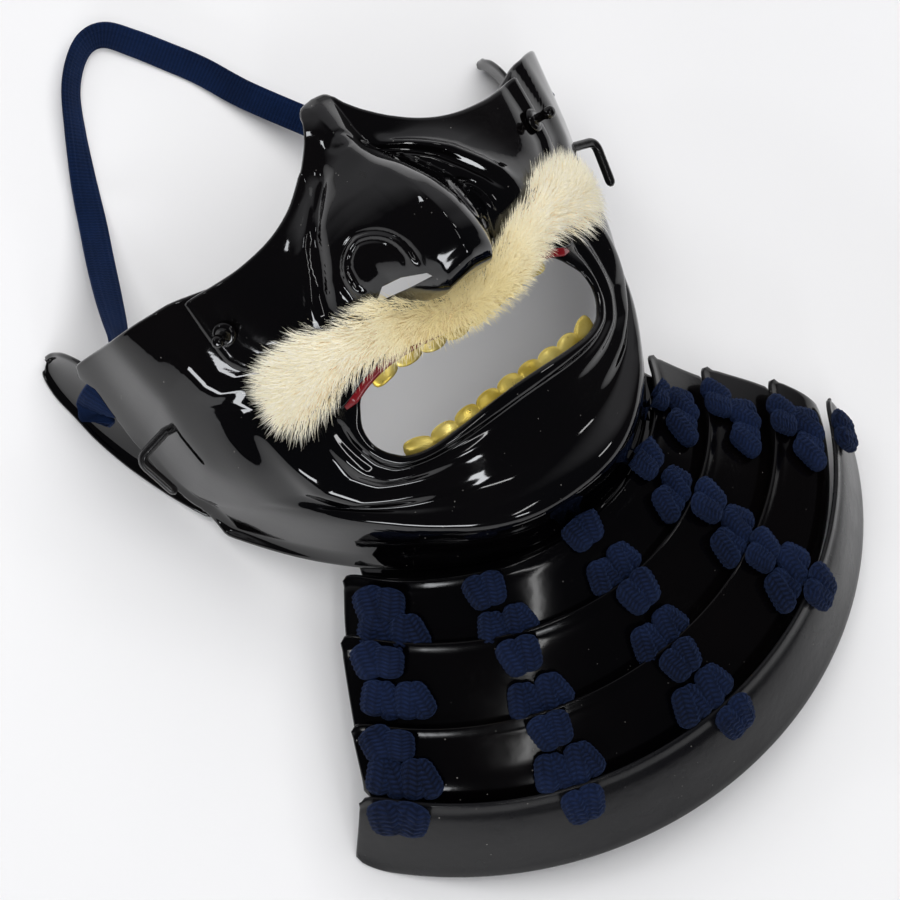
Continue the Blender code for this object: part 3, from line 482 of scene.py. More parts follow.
# Route of the loop, left end first. columns: x, y, z, lean (degrees the flat face leans from lying flat)
strapRoute = np.array((
    (-77, 67, 38.5, 80), (-73.6, 72.5, 37, 66), (-68.3, 79.5, 32, 40), (-61.7, 91.9, 24, 20),
    (-55.3, 104.1, 17, 10), (-48.9, 115.9, 11, 10), (-43.7, 126.3, 8, 20), (-38.8, 136.1, 7.4, 34),
    (-34.4, 144.5, 8, 44), (-28.1, 155.3, 9.2, 52), (-21.5, 162.2, 10, 56), (-14.7, 165.7, 10.4, 56),
    (-8.4, 164.5, 10, 52), (-2.9, 157.9, 9.2, 46), (3.1, 148.9, 8.4, 40), (9.2, 138.5, 8.2, 34),
    (14.9, 124.2, 9.8, 28), (23.1, 105.4, 15, 22), (28.9, 90.7, 21, 20), (37, 77.3, 27, 24),
    (47.4, 67.1, 33, 40), (61, 63.5, 37, 60), (75.4, 67, 38.5, 80),
))
# Its end, turned outward under the left wall and over the ear plate.
strapTurn = np.array((
    (-75, 66.6, 29.5, -26), (-78.2, 66.4, 30.8, -26), (-81.4, 66.2, 30.6, -26), (-83.9, 66, 28, -24),
    (-84.9, 65.9, 24, -22), (-84.6, 65.8, 20.4, -22),
))


def tuckIn(points):
    # x less the tuck, which grows from x 40 to 80 and is doubled below y -25.
    x, y = points[..., :1], points[..., 1:2]
    return points - rightTuck * held(40, 80, x) * (1 + held(35, -25, y)) * (1, 0, 0)


def bandRings(table, rows, width, thickness, right=False):
    # The section is across = w/2 |cos|^0.7 and deep = t/2 |sin|^0.38 with their signs, less cosine ribs,
    # carried along the route with its flat face leaning.
    row = evenAt(table, np.linspace(0, 1, rows))
    route, lean = row[:, :3].copy(), np.radians(row[:, 3])[:, None]
    along = unit(np.gradient(route, axis=0))
    level = unit(np.cross((0, 0, 1), along))
    wide = level * np.cos(lean) + np.cross(along, level) * np.sin(lean)
    thick = np.cross(along, wide)
    turn = turns(strap["around"])
    c, s = np.cos(turn), np.sin(turn)
    across = np.sign(c) * np.abs(c) ** 0.7 * width / 2
    rib = strap["ribDepth"] * np.cos(2 * math.pi * strap["ribs"] * across / width)
    deep = np.sign(s) * np.abs(s) ** 0.38 * (thickness / 2 - strap["ribDepth"] - rib * np.abs(s))
    ring = carry(route, wide, thick, across, deep)
    lift = np.maximum(0.1 - place[2] - ring[..., 2].min(1), 0)
    ring[..., 2] += lift[:, None]
    route[:, 2] += lift
    if right:
        ring, route = tuckIn(ring * (-1, 1, 1))[:, ::-1], tuckIn(route * (-1, 1, 1))
    length = np.concatenate([[0], np.cumsum(np.linalg.norm(np.diff(route, axis=0), axis=1))])
    uv = np.stack(np.broadcast_arrays(across / width + 0.5, length[:, None]), -1)
    return ring, uv, route, length[-1]


def turnMesh(side):
    # The band's section carried along the turned end, mirrored for the right side.
    rings, uv = bandRings(strapTurn, strap["turnRows"], strap["turnWidth"], strap["turnThickness"], side > 0)[:2]
    return tubeMesh(rings, uv)


rings, uv, route, strapLength = bandRings(strapRoute, strap["rows"], strap["width"], strap["thickness"])
strapPiece = addPiece("strapBand", tubeMesh(rings, uv), navyStrap, "strap")
turnPieces = addPairs("navy_strap", ("strapTurn", "strap_turn", turnMesh, navyStrap))

print("face shape")

# Level sections of the bare face, from above the bridge to the jaw rim.
# columns: midY, midZ, halfWidth, sideZ, sideY, fall (power of the drop to the side), flat (of the side wall)
sections = np.array((
    (100, 104, 89.5, 52, 94, 1, 0), (70, 104, 87.3, 34, 76, 1, 0.06), (38, 100, 83.4, 17, 58, 1, 0.08),
    (12, 91, 80.3, 12, 47, 1, 0.1), (-14, 85, 78.2, 9, 38, 1, 0.14), (-30, 75, 75.4, 8.5, 31, 1, 0.14),
    (-43.5, 75, 72.4, 8.5, 25, 1.05, 0.13), (-48, 57, 75, 8, 20, 1.9, 0),
))
lastSection = len(sections) - 1


def facePoint(angle, section):
    # A section is a half ellipse: x = w sin a, y falls from midY to sideY with |sin a|^2.4,
    # z = sideZ + (midZ - sideZ) r^fall, where r is cos a less a sine hump on the wall.
    midY, midZ, halfWidth, sideZ, sideY, fall, flat = np.moveaxis(rowAt(sections, section), -1, 0)
    side, rise = np.abs(np.sin(angle)), np.abs(np.cos(angle))
    rise = rise - flat * np.sin(math.pi * np.clip(rise / 0.68, 0, 1)) ** 2
    x = halfWidth * np.sin(angle)
    y = midY + (sideY - midY) * side ** 2.4
    z = sideZ + (midZ - sideZ) * np.clip(rise, 0, 1) ** fall
    return tuckIn(np.stack([x, y, z], -1))


def facePlace(x, y):
    # Angle and section of the face point over (x, y), by halving the section.
    x, y = np.broadcast_arrays(np.asarray(x, float), np.asarray(y, float))
    low, high = np.zeros(x.shape), np.full(x.shape, lastSection)
    for _ in range(30):
        middle = (low + high) / 2
        angle = np.arcsin(np.clip(x / rowAt(sections, middle)[..., 2], -1, 1))
        above = facePoint(angle, middle)[..., 1] > y
        low, high = np.where(above, middle, low), np.where(above, high, middle)
    return angle, middle


def faceNormal(angle, section):
    # Cross product of the two slopes, by small steps.
    step = 1e-3
    across = facePoint(angle + step, section) - facePoint(angle - step, section)
    down = facePoint(angle, np.minimum(section + step, lastSection)) - facePoint(angle, section - step)
    return unit(np.cross(down, across))


def overFace(x, y, lift):
    # The face point over (x, y), moved out along its normal.
    spot = facePlace(x, y)
    return facePoint(*spot) + faceNormal(*spot) * np.asarray(lift)[..., None]


lowerPlate = {
    "wall": 1.6,
    "columns": 150,  # along half of the horseshoe
    "rows": 104,
    "rimRoll": 1.8,
    "crestIn": 17,  # width of the slope inside the crest
    "crestFall": 2.6,  # steepness outside it, against the slope inside
    "crestRight": 0.5,  # how much the right side swells, against the left
}
# The nose plate's outer edge on the cheek, top corner first. columns: x, y
noseSide = np.array((
    (58.6, 62.2), (58.2, 51.5), (57.4, 43.6), (55.4, 39.4), (51.6, 36.2), (48.2, 29), (45.2, 20),
))
# Matched places on the mouth's edge and on the plate's outer edge, for half the plate.
# columns: mouthX, mouthY, edgeAngle (degrees), edgeSection
lowerEdges = np.array((
    (28, 15, 37, 1.42), (33.5, 14.2, 46, 1.3), (37, 12, 64, 1.17), (38.8, 9.2, 82, 1.06),
    (39.7, 7.2, 85.2, 1.15), (40.2, 5.2, 80.5, 1.42), (40.4, 3.4, 82, 1.75), (40.2, 0.6, 84.4, 2.5),
    (39.2, -2.4, 86.5, 4), (37.4, -5.4, 87.5, 5.9), (34.2, -8.6, 76, 7), (28, -10.9, 55, 7),
    (19, -11.7, 34, 7), (9.5, -11.7, 16, 7), (0, -11.6, 0, 7),
))
# Ribs and grooves round the mouth. columns: share from mouth to edge, height, width
lowerRibs = np.array((
    (0.02, 1.3, 0.03), (0.07, -0.8, 0.028), (0.115, 0.8, 0.03), (0.165, -0.6, 0.03), (0.27, 1.9, 0.06),
    (0.37, -0.5, 0.05), (0.455, 0.35, 0.05),
))
# Crest where the cheek turns down into the side wall. columns: y, x, how far out, how far up
lowerCrest = np.array((
    (-32, 40, 0, 0), (-20, 49, 1, 1), (-9, 55.5, 2.4, 2.8), (2, 60.5, 3.6, 4.4), (14, 65.4, 4.6, 6),
    (29, 70, 5.2, 7), (41, 71.5, 5.2, 7), (50, 72, 5, 6.6), (58, 73.5, 4.6, 5.6), (67, 75, 4, 4),
    (80, 77, 3, 2),
))


def sideAt(y):
    # x of the nose plate's edge on the cheek at a height y.
    return np.interp(y, noseSide[::-1, 1], noseSide[::-1, 0])


def lowerSurface(half, share, side):
    # Straight runs in (angle, section) from the mouth's edge to the outer edge, lifted by the ribs.
    # The crest is a soft minimum of 1 + t and 1 - f t, held above 0, with t the distance outside it.
    mouth = evenAt(lowerEdges[:, :2], half)
    edge = straightAt(lowerEdges[:, 2:], half)
    inner = np.stack(facePlace(mouth[..., 0], mouth[..., 1]), -1)
    outer = np.stack([np.radians(edge[..., 0]), edge[..., 1]], -1)
    at = inner * (1 - share[..., None]) + outer * share[..., None]
    corner = bump(half, 0.62, 0.2)
    rise = 0 * share
    for middle, height, width in lowerRibs:
        strength = corner if middle > 0.1 else held(0.15, 0.35, half)
        rise = rise + height * strength * bump(share, middle, width)
    angle = at[..., 0] * side
    bare, normal = facePoint(angle, at[..., 1]), faceNormal(angle, at[..., 1])
    crest, out, up = (np.interp(bare[..., 1], lowerCrest[:, 0], lowerCrest[:, k]) for k in (1, 2, 3))
    off = (np.abs(bare[..., 0]) - crest) / lowerPlate["crestIn"]
    ridge = -np.log(np.exp(-8 * (1 + off)) + np.exp(-8 * (1 - off * lowerPlate["crestFall"]))) / 8
    ridge = np.log1p(np.exp(7 * ridge)) / 7
    out = out * (1 if side < 0 else lowerPlate["crestRight"])
    level = unit(normal * (1, 1, 0))
    # A step follows the nose plate's edge.
    beside = np.abs(bare[..., 0]) - sideAt(bare[..., 1])
    step = 0.45 * bump(beside, 7, 2.2) - 0.5 * bump(beside, 3.4, 1.8)
    rise = rise + step * smooth(33, 39, bare[..., 1])
    rim = np.interp(half, (0.46, 0.66, 0.78, 0.88), (0, 1, 1, 0.3))
    rise = rise + lowerPlate["rimRoll"] * rim * held(0.9, 1, share) ** 2
    points = bare + normal * rise[..., None] + level * (out * ridge)[..., None]
    points[..., 2] += up * ridge
    return points


def lowerGrid():
    # The surface over an even grid of half and share: the right side, then the left one from the middle out.
    half = np.linspace(0, 1, lowerPlate["columns"])[None]
    share = np.linspace(0, 1, lowerPlate["rows"])[:, None]
    half, share = np.broadcast_arrays(half, share)
    return np.concatenate([lowerSurface(half, share, 1), lowerSurface(half, share, -1)[:, -2::-1]], 1)


nosePlate = {
    "wall": 1.6,
    "lift": 2.1,  # of the outer face over the bare face
    "columns": 104,  # on each side of the middle
    "rows": 150,
    "bridgeLean": 1.2,
    "facetTilt": (0.62, 0.28),  # slope of the top left and right of the crease, as shares of the flank's
    "shoulder": 1,
    "rightFoot": 0.72,  # the right flank is the steeper one
    "wingX": 17,
    "wingHalfWidth": 7.5,
    "wingHeight": 1.7,
    "ringX": 17.4,  # the groove and bead round the wing
    "ringY": 35,
    "ringAcross": 7,
    "ringDown": 8.8,
}
# Ridge of the nose over the bare face. columns: baseY, y, z, flatHalf, footHalf
noseRidge = np.array((
    (11, 11, 90.6, 8, 20), (18.5, 18.5, 93.3, 8.4, 24), (21.5, 21.2, 94.8, 8.8, 25.5),
    (23.2, 20.2, 99.5, 8.8, 26), (24.8, 17.6, 109, 8.8, 26.5), (26.4, 16.1, 120, 8.6, 27),
    (28, 17.4, 126.4, 8.4, 27.6), (30.5, 21, 130.3, 8.2, 28.6), (36, 30, 132.4, 7.4, 30),
    (44, 40.5, 131.2, 6, 27.5), (52, 50.5, 125.2, 4.4, 22.5), (61, 60.5, 116.4, 2.6, 14.5),
    (69, 69, 112.2, 3, 11.5), (76.5, 77, 110.6, 4, 11.5), (80, 80.4, 109.2, 4.6, 11.5),
    (82.5, 82.6, 107.4, 5, 12), (86, 86, 104, 5.4, 12),
))
# The crease along the spine. columns: baseY, x
noseCrease = np.array(((30, -0.5), (63, -3.2)))
# Nostril wing. columns: baseY, share of its height
noseWing = np.array((
    (21, 0), (22.8, 0.05), (24.6, 0.55), (26.6, 0.98), (31, 0.97), (37, 0.62), (43, 0.2), (48, 0),
))
# Matched places on the top and bottom edges, half of the plate. columns: topX, topY, bottomX, bottomY
noseEdges = np.array((
    (0, 83.9, 0, 13.6), (4.6, 82.7, 7, 14.2), (7, 78.2, 12, 15), (10.4, 73.4, 17.5, 15.9),
    (16, 67.8, 22.5, 16.5), (23.6, 62.6, 27.5, 16.6), (32.5, 59.5, 33, 15.8), (42.5, 58.9, 38, 14.4),
    (51, 60.2, 42, 14.6), (58.6, 62.2, 45.2, 20),
))


def noseShift(x, baseY):
    # With t from the crease, the ridge drops as m t + (1 - m) w log(1 + exp((t - flat)/w)),
    # scaled to reach the cheek at the foot. A low dome on the flank is the nostril's wing.
    row = curveAt(noseRidge[:, 0], noseRidge, np.clip(baseY, noseRidge[0, 0], noseRidge[-1, 0]))
    middle = facePoint(*facePlace(0 * baseY, baseY))
    crease = np.interp(baseY, noseCrease[:, 0], noseCrease[:, 1])
    tilt, soft = np.where(x > crease, *nosePlate["facetTilt"][::-1]), nosePlate["shoulder"]

    def drop(t):
        return tilt * np.sqrt(t * t + 0.4) + (1 - tilt) * soft * np.log1p(np.exp((t - row[..., 3]) / soft))

    foot = row[..., 4] * np.where(x > crease, nosePlate["rightFoot"], 1)
    share = np.clip(1 - (drop(np.abs(x - crease)) - drop(0)) / (drop(foot) - drop(0)), 0, 1)
    inside = np.clip((baseY - noseRidge[0, 0]) / 3, 0, 1)
    ridgeY = (row[..., 1] - baseY) * np.clip((share - 0.45) * 2.6, 0, 1) * inside
    ridgeZ = np.maximum(row[..., 2] - middle[..., 2], 0) * share * inside
    off = (np.abs(x - crease) - nosePlate["wingX"]) / nosePlate["wingHalfWidth"]
    wing = np.interp(baseY, noseWing[:, 0], noseWing[:, 1]) * np.clip(1 - off ** 2, 0, 1) ** 0.8
    return ridgeY, ridgeZ + nosePlate["wingHeight"] * wing


def noseSurface(x, y, lift, most=100):
    # The bare face lifted along its normal, then moved by noseShift, up to a given rise,
    # and by the bridge's lean.
    point = overFace(x, y, lift)
    shiftY, shiftZ = noseShift(x, y)
    shiftY = shiftY * np.minimum(1, most / np.maximum(shiftZ, 1e-6))
    shiftZ = np.minimum(shiftZ, most)
    point[..., 0] -= nosePlate["bridgeLean"] * held(45, 65, y) * held(48, 28, np.abs(x))
    point[..., 1] += shiftY
    point[..., 2] += shiftZ
    return point


def nosePlaces():
    # A patch between the top edge, the side and the bottom edge, rows close where the nose turns under.
    across = np.linspace(0, 1, nosePlate["columns"])[None]
    down = np.linspace(0, 1, nosePlate["rows"])[:, None]
    down = 0.42 * down + 0.58 * (1 - (1 - down) ** 2.3)
    edges = evenAt(noseEdges, across[0])
    side = evenAt(noseSide, down[:, 0])[:, None]
    straight = edges[None, :, :2] * (1 - down[..., None]) + edges[None, :, 2:] * down[..., None]
    patch = straight + (side - straight[:, -1:]) * across[..., None] ** 2
    return np.concatenate([patch[:, :0:-1] * (-1, 1), patch], 1)


def noseRise(x, baseY):
    # Extra ridges and dents of the nose plate, each a bump across a line or a ring, in millimetres.
    side = np.abs(x - np.interp(baseY, noseCrease[:, 0], noseCrease[:, 1]))
    # A groove and a bead run round each nostril wing.
    reach = np.hypot((side - nosePlate["ringX"]) / nosePlate["ringAcross"],
                     (baseY - nosePlate["ringY"]) / nosePlate["ringDown"])
    rise = -0.8 * bump(reach, 1.03, 0.07) + 0.55 * bump(reach, 0.87, 0.07) - 0.6 * bump(reach, 0.72, 0.05)
    rise = rise * smooth(30, 34, baseY)
    # The fold beside the nose runs from the bridge down the cheek.
    fold = np.interp(baseY, (36, 40, 52, 58, 63, 70), (29.3, 28, 20.6, 14.6, 8.8, 6))
    # columns: height, beside the fold, width, and the heights on the face where it starts, is full, and ends
    for height, beside, width, start, full, fade, end in (
            (-1.3, 0, 1.6, 33, 40, 62, 70),
            (1.1, 3.6, 2.2, 33, 42, 60, 68),
            (3.4, 1, 9, 24, 34, 54, 66)):
        along = smooth(start, full, baseY) * smooth(end, fade, baseY)
        rise = rise + height * bump(side, fold + beside, width) * along
    # A bead follows the plate's edge on the cheek.
    inside = sideAt(baseY) - np.abs(x)
    bead = 0.6 * bump(inside, 1.2, 2) - 0.4 * bump(inside, 5, 2.2)
    rise = rise + bead * smooth(20, 26, baseY)
    # An oval ring and a small dent mark the root of the nose.
    ring = np.hypot((x + 2.4) / 3.4, (baseY - 68.3) / 2.2)
    return rise - 0.5 * bump(ring, 1, 0.28) - 0.25 * bump(ring, 0, 0.7)


def noseGrid():
    # The nose surface over the patch of places, lifted by the plate's height and its ridges.
    spot = nosePlaces()
    x, y = spot[..., 0], spot[..., 1]
    return noseSurface(x, y, nosePlate["lift"] + noseRise(x, y))


def cutHoles(obj, cutters):
    # Boolean differences by the manifold solver, applied, so that the piece keeps no helper.
    for cutter in cutters:
        modifier = obj.modifiers.new("hole", "BOOLEAN")
        modifier.operation, modifier.solver, modifier.object = "DIFFERENCE", "MANIFOLD", cutter
    seen = obj.evaluated_get(bpy.context.evaluated_depsgraph_get())
    mesh = bpy.data.meshes.new_from_object(seen)
    obj.modifiers.clear()
    obj.data = mesh
    mesh.name = obj.name
    for cutter in cutters:
        bpy.data.objects.remove(cutter, do_unlink=True)


print("lower plate")

addPiece("lowerPlate", shellMesh(lowerGrid(), lowerPlate["wall"]), blackLacquer, "lower_plate")

print("nose plate")

noseMesh = shellMesh(noseGrid(), nosePlate["wall"])
nosePiece = addPiece("nosePlate", noseMesh, blackLacquer, "nose_plate")

# Corners of the left nostril on the flank, and the way the hole runs through the wall.
nostrilCorners = np.array((
    (-22.8, 26.4, 108.7), (-22.2, 25.4, 109.2), (-17, 22, 118), (-11.5, 19.5, 125.4),
    (-12.4, 21, 125.9), (-17.2, 25.2, 120.3), (-21, 27.5, 113.8),
))
nostrilWay = np.array((0.31, 0.22, -0.925))
nostrilReach = (-7, 26)  # from outside the flank to inside the nose
cutters = []
for side in (-1, 1):
    # A prism on the corners. The right one is its mirror image.
    flip = np.array((-side, 1, 1))
    corners = nostrilCorners * flip + (noseCrease[0, 1] * 2 * (side > 0), 0, 0)
    rod = np.stack([corners + nostrilWay * flip * reach for reach in nostrilReach])
    cutters.append(newObject("cutter", tubeMesh(rod)))
cutHoles(nosePiece, cutters)

print("lip and teeth")

lip = {
    "share": 0.84,  # of the plate's lower edge
    "rows": 120,
    "around": 16,
    "under": 1.6,  # below the plate's edge
    "lift": (1.15, 0.75),  # of the bead's middle, and half its thickness
    "reach": (0.5, 1.9),  # the same down the face
}


def lipRings():
    # A bead under the nose plate's edge: m + n (lift + thickness sin t) + d (reach + depth cos t).
    half = np.linspace(0, lip["share"], lip["rows"])
    edge = evenAt(noseEdges, half)[:, 2:]
    edge = np.concatenate([edge[:0:-1] * (-1, 1), edge])
    spot = facePlace(edge[:, 0], edge[:, 1] - lip["under"])
    middle, normal = facePoint(*spot), faceNormal(*spot)
    turn, count = turns(lip["around"]), len(edge)
    end = np.minimum(1, np.minimum(np.arange(count), count - 1 - np.arange(count)) / 16 + 0.3)[:, None]
    down = unit(np.cross(normal, np.gradient(middle, axis=0)))
    (lift, thick), (reach, deep) = lip["lift"], lip["reach"]
    return carry(middle, normal, down, (lift + thick * np.sin(turn)) * end, (reach + deep * np.cos(turn)) * end)


addPiece("upperLip", tubeMesh(lipRings()), redLacquer, "upper_lip")

teeth = {
    "columns": 18,  # of the mesh, for each tooth
    "rows": 12,
    "wall": 1,
    "dome": 0.9,
    # Count, half width of the row, root length, tip length, lift.
    "upper": (8, 31.5, 3.4, 3.1, -2),
    "lower": (9, 35, 2.8, 3.4, -2.4),
}


def teethMesh(word, edge, direction):
    # Each tooth reaches from behind the lip to a half-round tip and swells as a dome:
    # dome sqrt(1 - 3/4 u^2 - 4/5 v^2) of its own u across and v along.
    count, half, rootLength, tipLength, lift = teeth[word]
    across = np.linspace(-half, half, count * teeth["columns"] + 1)
    edgeY = np.interp(np.abs(across), edge[:, 0], edge[:, 1])
    share = np.linspace(1e-4, 1 - 1e-4, len(across))
    u = 2 * ((share * count) % 1) - 1
    tip = np.sqrt(np.clip(1 - u ** 2, 0, 1))
    out = np.linspace(0, 1, teeth["rows"])[:, None]
    reach = -rootLength + out * (rootLength + tipLength * (0.45 + 0.55 * tip))
    v = np.clip(reach / (tipLength + 0.4), -0.55, 1)
    rise = lift + teeth["dome"] * np.sqrt(np.clip(1 - 0.75 * u ** 2 - 0.8 * v ** 2, 0, 1))
    return shellMesh(overFace(across + 0 * reach, edgeY + direction * reach, rise), teeth["wall"])


upperEdge = noseEdges[:, 2:] - (0, 2.6)
addPiece("upperTeeth", teethMesh("upper", upperEdge, -1), goldLeaf, "upper_teeth")
addPiece("lowerTeeth", teethMesh("lower", lowerEdges[:-6:-1, :2], 1), goldLeaf, "lower_teeth")

print("moustache")

moustache = {
    "rings": 90,
    "around": 32,
    "climb": 7,  # how far the band may rise on the nose
    "ground": 0.5,  # height of the pelt, as a share of the fur's
    "hairs": 5400,  # in each of three parts
    "stations": 4,
    "radius": 0.1,
    "lengthEnd": 9,
    "lengthMiddle": 6.6,
    "lift": 3.2,  # of the roots over the bare face
    "spread": (0.18, 0.58),  # middle and spread of the roots across the band
    "middleX": 1,  # the hairs part here, left of the middle
    "steep": (58, 22, 26, 9),  # degrees, less toward the ends, less across the band, spread
    "curl": 0.07,
}
# Outer form of the fur, left to right. columns: x, y, halfWidth, height
furForm = np.array((
    (-54.6, 25.6, 3.6, 2.4), (-52, 25.5, 8.4, 5.6), (-47, 25.4, 11, 7.5), (-41, 25.5, 10.8, 8),
    (-35, 25.8, 9.2, 8), (-27, 23.7, 8.1, 7.5), (-18.6, 20.6, 8.6, 7), (-9, 17.3, 8.5, 7),
    (-1, 14.9, 7.4, 6.5), (5.4, 14.4, 7, 6.5), (13, 15.1, 7.2, 7), (19.4, 17.8, 7.4, 7),
    (26.6, 21.6, 6.7, 7.5), (36.4, 25.2, 8.6, 8), (44, 25.6, 10.6, 8), (51, 26.6, 10.4, 7),
    (55.5, 27.4, 7.6, 4.8), (58.2, 28.2, 3.6, 2.4),
))


def furGroundRings():
    # Rings round the band: y - 0.9 + 0.55 w cos t across, lift + h sin(t)^0.7 up.
    row = evenAt(furForm, np.linspace(0.06, 0.94, moustache["rings"]))
    turn = turns(moustache["around"])
    x = row[:, :1] + 0 * turn
    y = row[:, 1:2] - 0.9 + 0.55 * row[:, 2:3] * np.cos(turn)
    rise = np.clip(np.sin(turn), 0, 1) ** 0.7 * row[:, 3:4] * moustache["ground"]
    return noseSurface(x, y, 3.3 + rise, moustache["climb"])


addPiece("furGround", tubeMesh(furGroundRings()), furGround, "moustache")


def furPart(name, start, end, seed):
    # Hairs rooted over the band between two shares of its length. Each is a tapered prism along
    # root + L (s flow cos c + (s - s^2/2.2) normal sin c): c is how steeply the hair stands.
    random = np.random.default_rng(seed)
    count, stations = moustache["hairs"], moustache["stations"]
    share = random.uniform(start, end, count)
    row = evenAt(furForm, share)
    across = np.clip(random.normal(*moustache["spread"], count), -1, 1)
    x = row[:, 0] + random.normal(0, 0.4, count)
    y = row[:, 1] + 0.72 * across * row[:, 2]
    normal = faceNormal(*facePlace(x, y))
    beside = row[:, 0] + moustache["middleX"]
    ends = smooth(0.2, 0.85, np.abs(beside) / 55)
    rise = moustache["lift"] + moustache["ground"] * row[:, 3] * np.sqrt(np.clip(1 - across ** 2, 0, 1))
    root = noseSurface(x, y, rise, moustache["climb"])
    outward = np.tanh(beside / 16)
    clump = np.sin(share * 330 + 4 * across) * 0.14 + np.sin(share * 131 - 6 * across) * 0.14
    away = (0.85 - 0.1 * ends) * across * 1.1
    flow = np.stack([outward * (0.85 + 0.15 * ends) + clump, away + clump, 0 * x], -1)
    flow = flow + random.normal(0, 0.16, flow.shape)
    flow = unit(flow - normal * (flow * normal).sum(-1, keepdims=True))
    length = moustache["lengthMiddle"] * (1 - ends) + moustache["lengthEnd"] * ends
    length = length * random.uniform(0.62, 1, count) * (1 - 0.25 * np.clip(-across, 0, 1) * (1 - ends))
    most, less, lessAcross, spread = moustache["steep"]
    steep = most - less * ends - lessAcross * np.abs(across) + random.normal(0, spread, count)
    steep = np.radians(np.clip(steep, 8, 85))
    s = np.linspace(0, 1, stations)
    sideways = unit(np.cross(flow, normal))
    curl = random.normal(0, moustache["curl"], count) * length
    run, climb = length * np.cos(steep), length * np.sin(steep)
    line = carry(root, flow, normal, np.outer(run, s), np.outer(climb, s - s ** 2 / 2.2))
    line = line + sideways[:, None] * np.outer(curl, s ** 2)[..., None]
    radius = moustache["radius"] * (1 - 0.9 * s ** 1.6) * random.uniform(0.75, 1.2, (count, 1))
    angle = turns(3)[:, None]
    ring = sideways[:, None] * np.cos(angle) + normal[:, None] * np.sin(angle)
    points = line[:, :, None] + ring[:, None] * radius[:, :, None, None]
    first = np.arange(count) * stations * 3
    quads = (gridQuads(stations, 3, around=True)[None] + first[:, None, None]).reshape(-1, 4)
    caps = np.concatenate([first[:, None] + (2, 1, 0), first[:, None] + (stations - 1) * 3 + np.arange(3)])
    uv = np.broadcast_arrays(s[:, None], random.uniform(0, 1, count)[:, None, None], points[..., 0])[:2]
    addPiece(name, newMesh(points, quads, caps.tolist(), np.stack(uv, -1)), creamFur, "moustache")


for word, start, end, seed in (("left", 0.07, 0.36, 11), ("middle", 0.33, 0.68, 12), ("right", 0.65, 0.93, 13)):
    furPart("fur" + word.title(), start, end, seed)

print("studs, hooks and ear plates")

fittings = {
    "studAt": (54.6, 49.4),
    "studRadius": 1.9,
    "studFoot": 2.5,  # over the bare face
    "hookAt": (73, 45),
    "hookCorner": (87, 43.4, 35.5),
    "hookEnd": (83.6, 29.6, 32.5),
    "hookRadius": 1.5,
    "hookBend": 3.4,
}


def pipeRings(route, radius, around=16):
    # Circles square to the route, from a frame that leans on one fixed direction.
    along = unit(np.gradient(route, axis=0))
    side = unit(np.cross(along, (0.13, 0.2, 0.97)))
    turn, radius = turns(around), radius[:, None]
    return carry(route, side, np.cross(side, along), radius * np.cos(turn), radius * np.sin(turn))


# Outline of a stud: a dished collar, a neck and a rounded head. columns: radius (shares), height
studOutline = np.array((
    (0.02, 0), (1.75, 0), (1.85, 0.5), (1.55, 1), (1.2, 1.1), (0.8, 1), (0.72, 2), (0.7, 3.2),
    (0.85, 4.2), (1, 4.9), (1, 5.9), (0.85, 6.8), (0.5, 7.3), (0.02, 7.4),
))


def studMesh(side):
    # The outline spun round the face's normal.
    x, y = fittings["studAt"]
    spot = facePlace(side * x, y)
    radius, height = evenAt(studOutline, np.linspace(0, 1, 50)).T
    route = facePoint(*spot) + faceNormal(*spot) * (fittings["studFoot"] + height[:, None])
    return tubeMesh(pipeRings(route, np.maximum(radius, 0.02) * fittings["studRadius"], 32))


def hookMesh(side):
    # An arm from the wall to a corner and a leg from there to the tip, with the parabola
    # corner + r (arm (1 - t)^2 + leg t^2) between them.
    x, y = fittings["hookAt"]
    foot = overFace(side * x, y, 0.6)
    corner, end = tuckIn(np.array((fittings["hookCorner"], fittings["hookEnd"])) * (side, 1, 1))
    arm, leg = unit(foot - corner), unit(end - corner)
    t = np.linspace(0, 1, 14)[:, None]
    bend = corner + fittings["hookBend"] * (arm * (1 - t) ** 2 + leg * t ** 2)
    route = np.concatenate([foot + (bend[0] - foot) * np.linspace(0, 0.97, 12)[:, None], bend,
                            bend[-1] + (end - bend[-1]) * np.linspace(0.03, 1, 16)[:, None]])
    radius = np.full(len(route), fittings["hookRadius"])
    radius[-3:] *= (0.97, 0.8, 0.35)
    return tubeMesh(pipeRings(route, radius))


addPairs("black_lacquer", ("stud", "stud", studMesh, blackLacquer), ("hook", "hook", hookMesh, blackIron))

# Ear plate behind each side wall. columns: y, innerX, innerZ, outerX, outerZ
earForm = np.array((
    (89.8, 84.9, 9.2, 85.3, 8.2), (88.4, 84.1, 14.5, 87, 6.2), (85.4, 83.4, 20.5, 88, 4.4),
    (79.4, 82.2, 26.2, 88.4, 3.5), (72, 80.8, 29, 87.6, 3.4), (62, 78.6, 27, 86.6, 3.4),
    (50, 74.8, 22, 84, 3.4), (38, 71.4, 14.5, 80.2, 3.4), (29, 69.8, 9.5, 76.6, 3.6),
    (23.6, 71, 6.6, 74, 5.6),
))
earPlate = {
    "wall": 1.5,
    "hollow": 1.2,
    "rows": 20,
    "columns": 72,
    "floor": 1.6,  # the least height of the outer face over the table
}


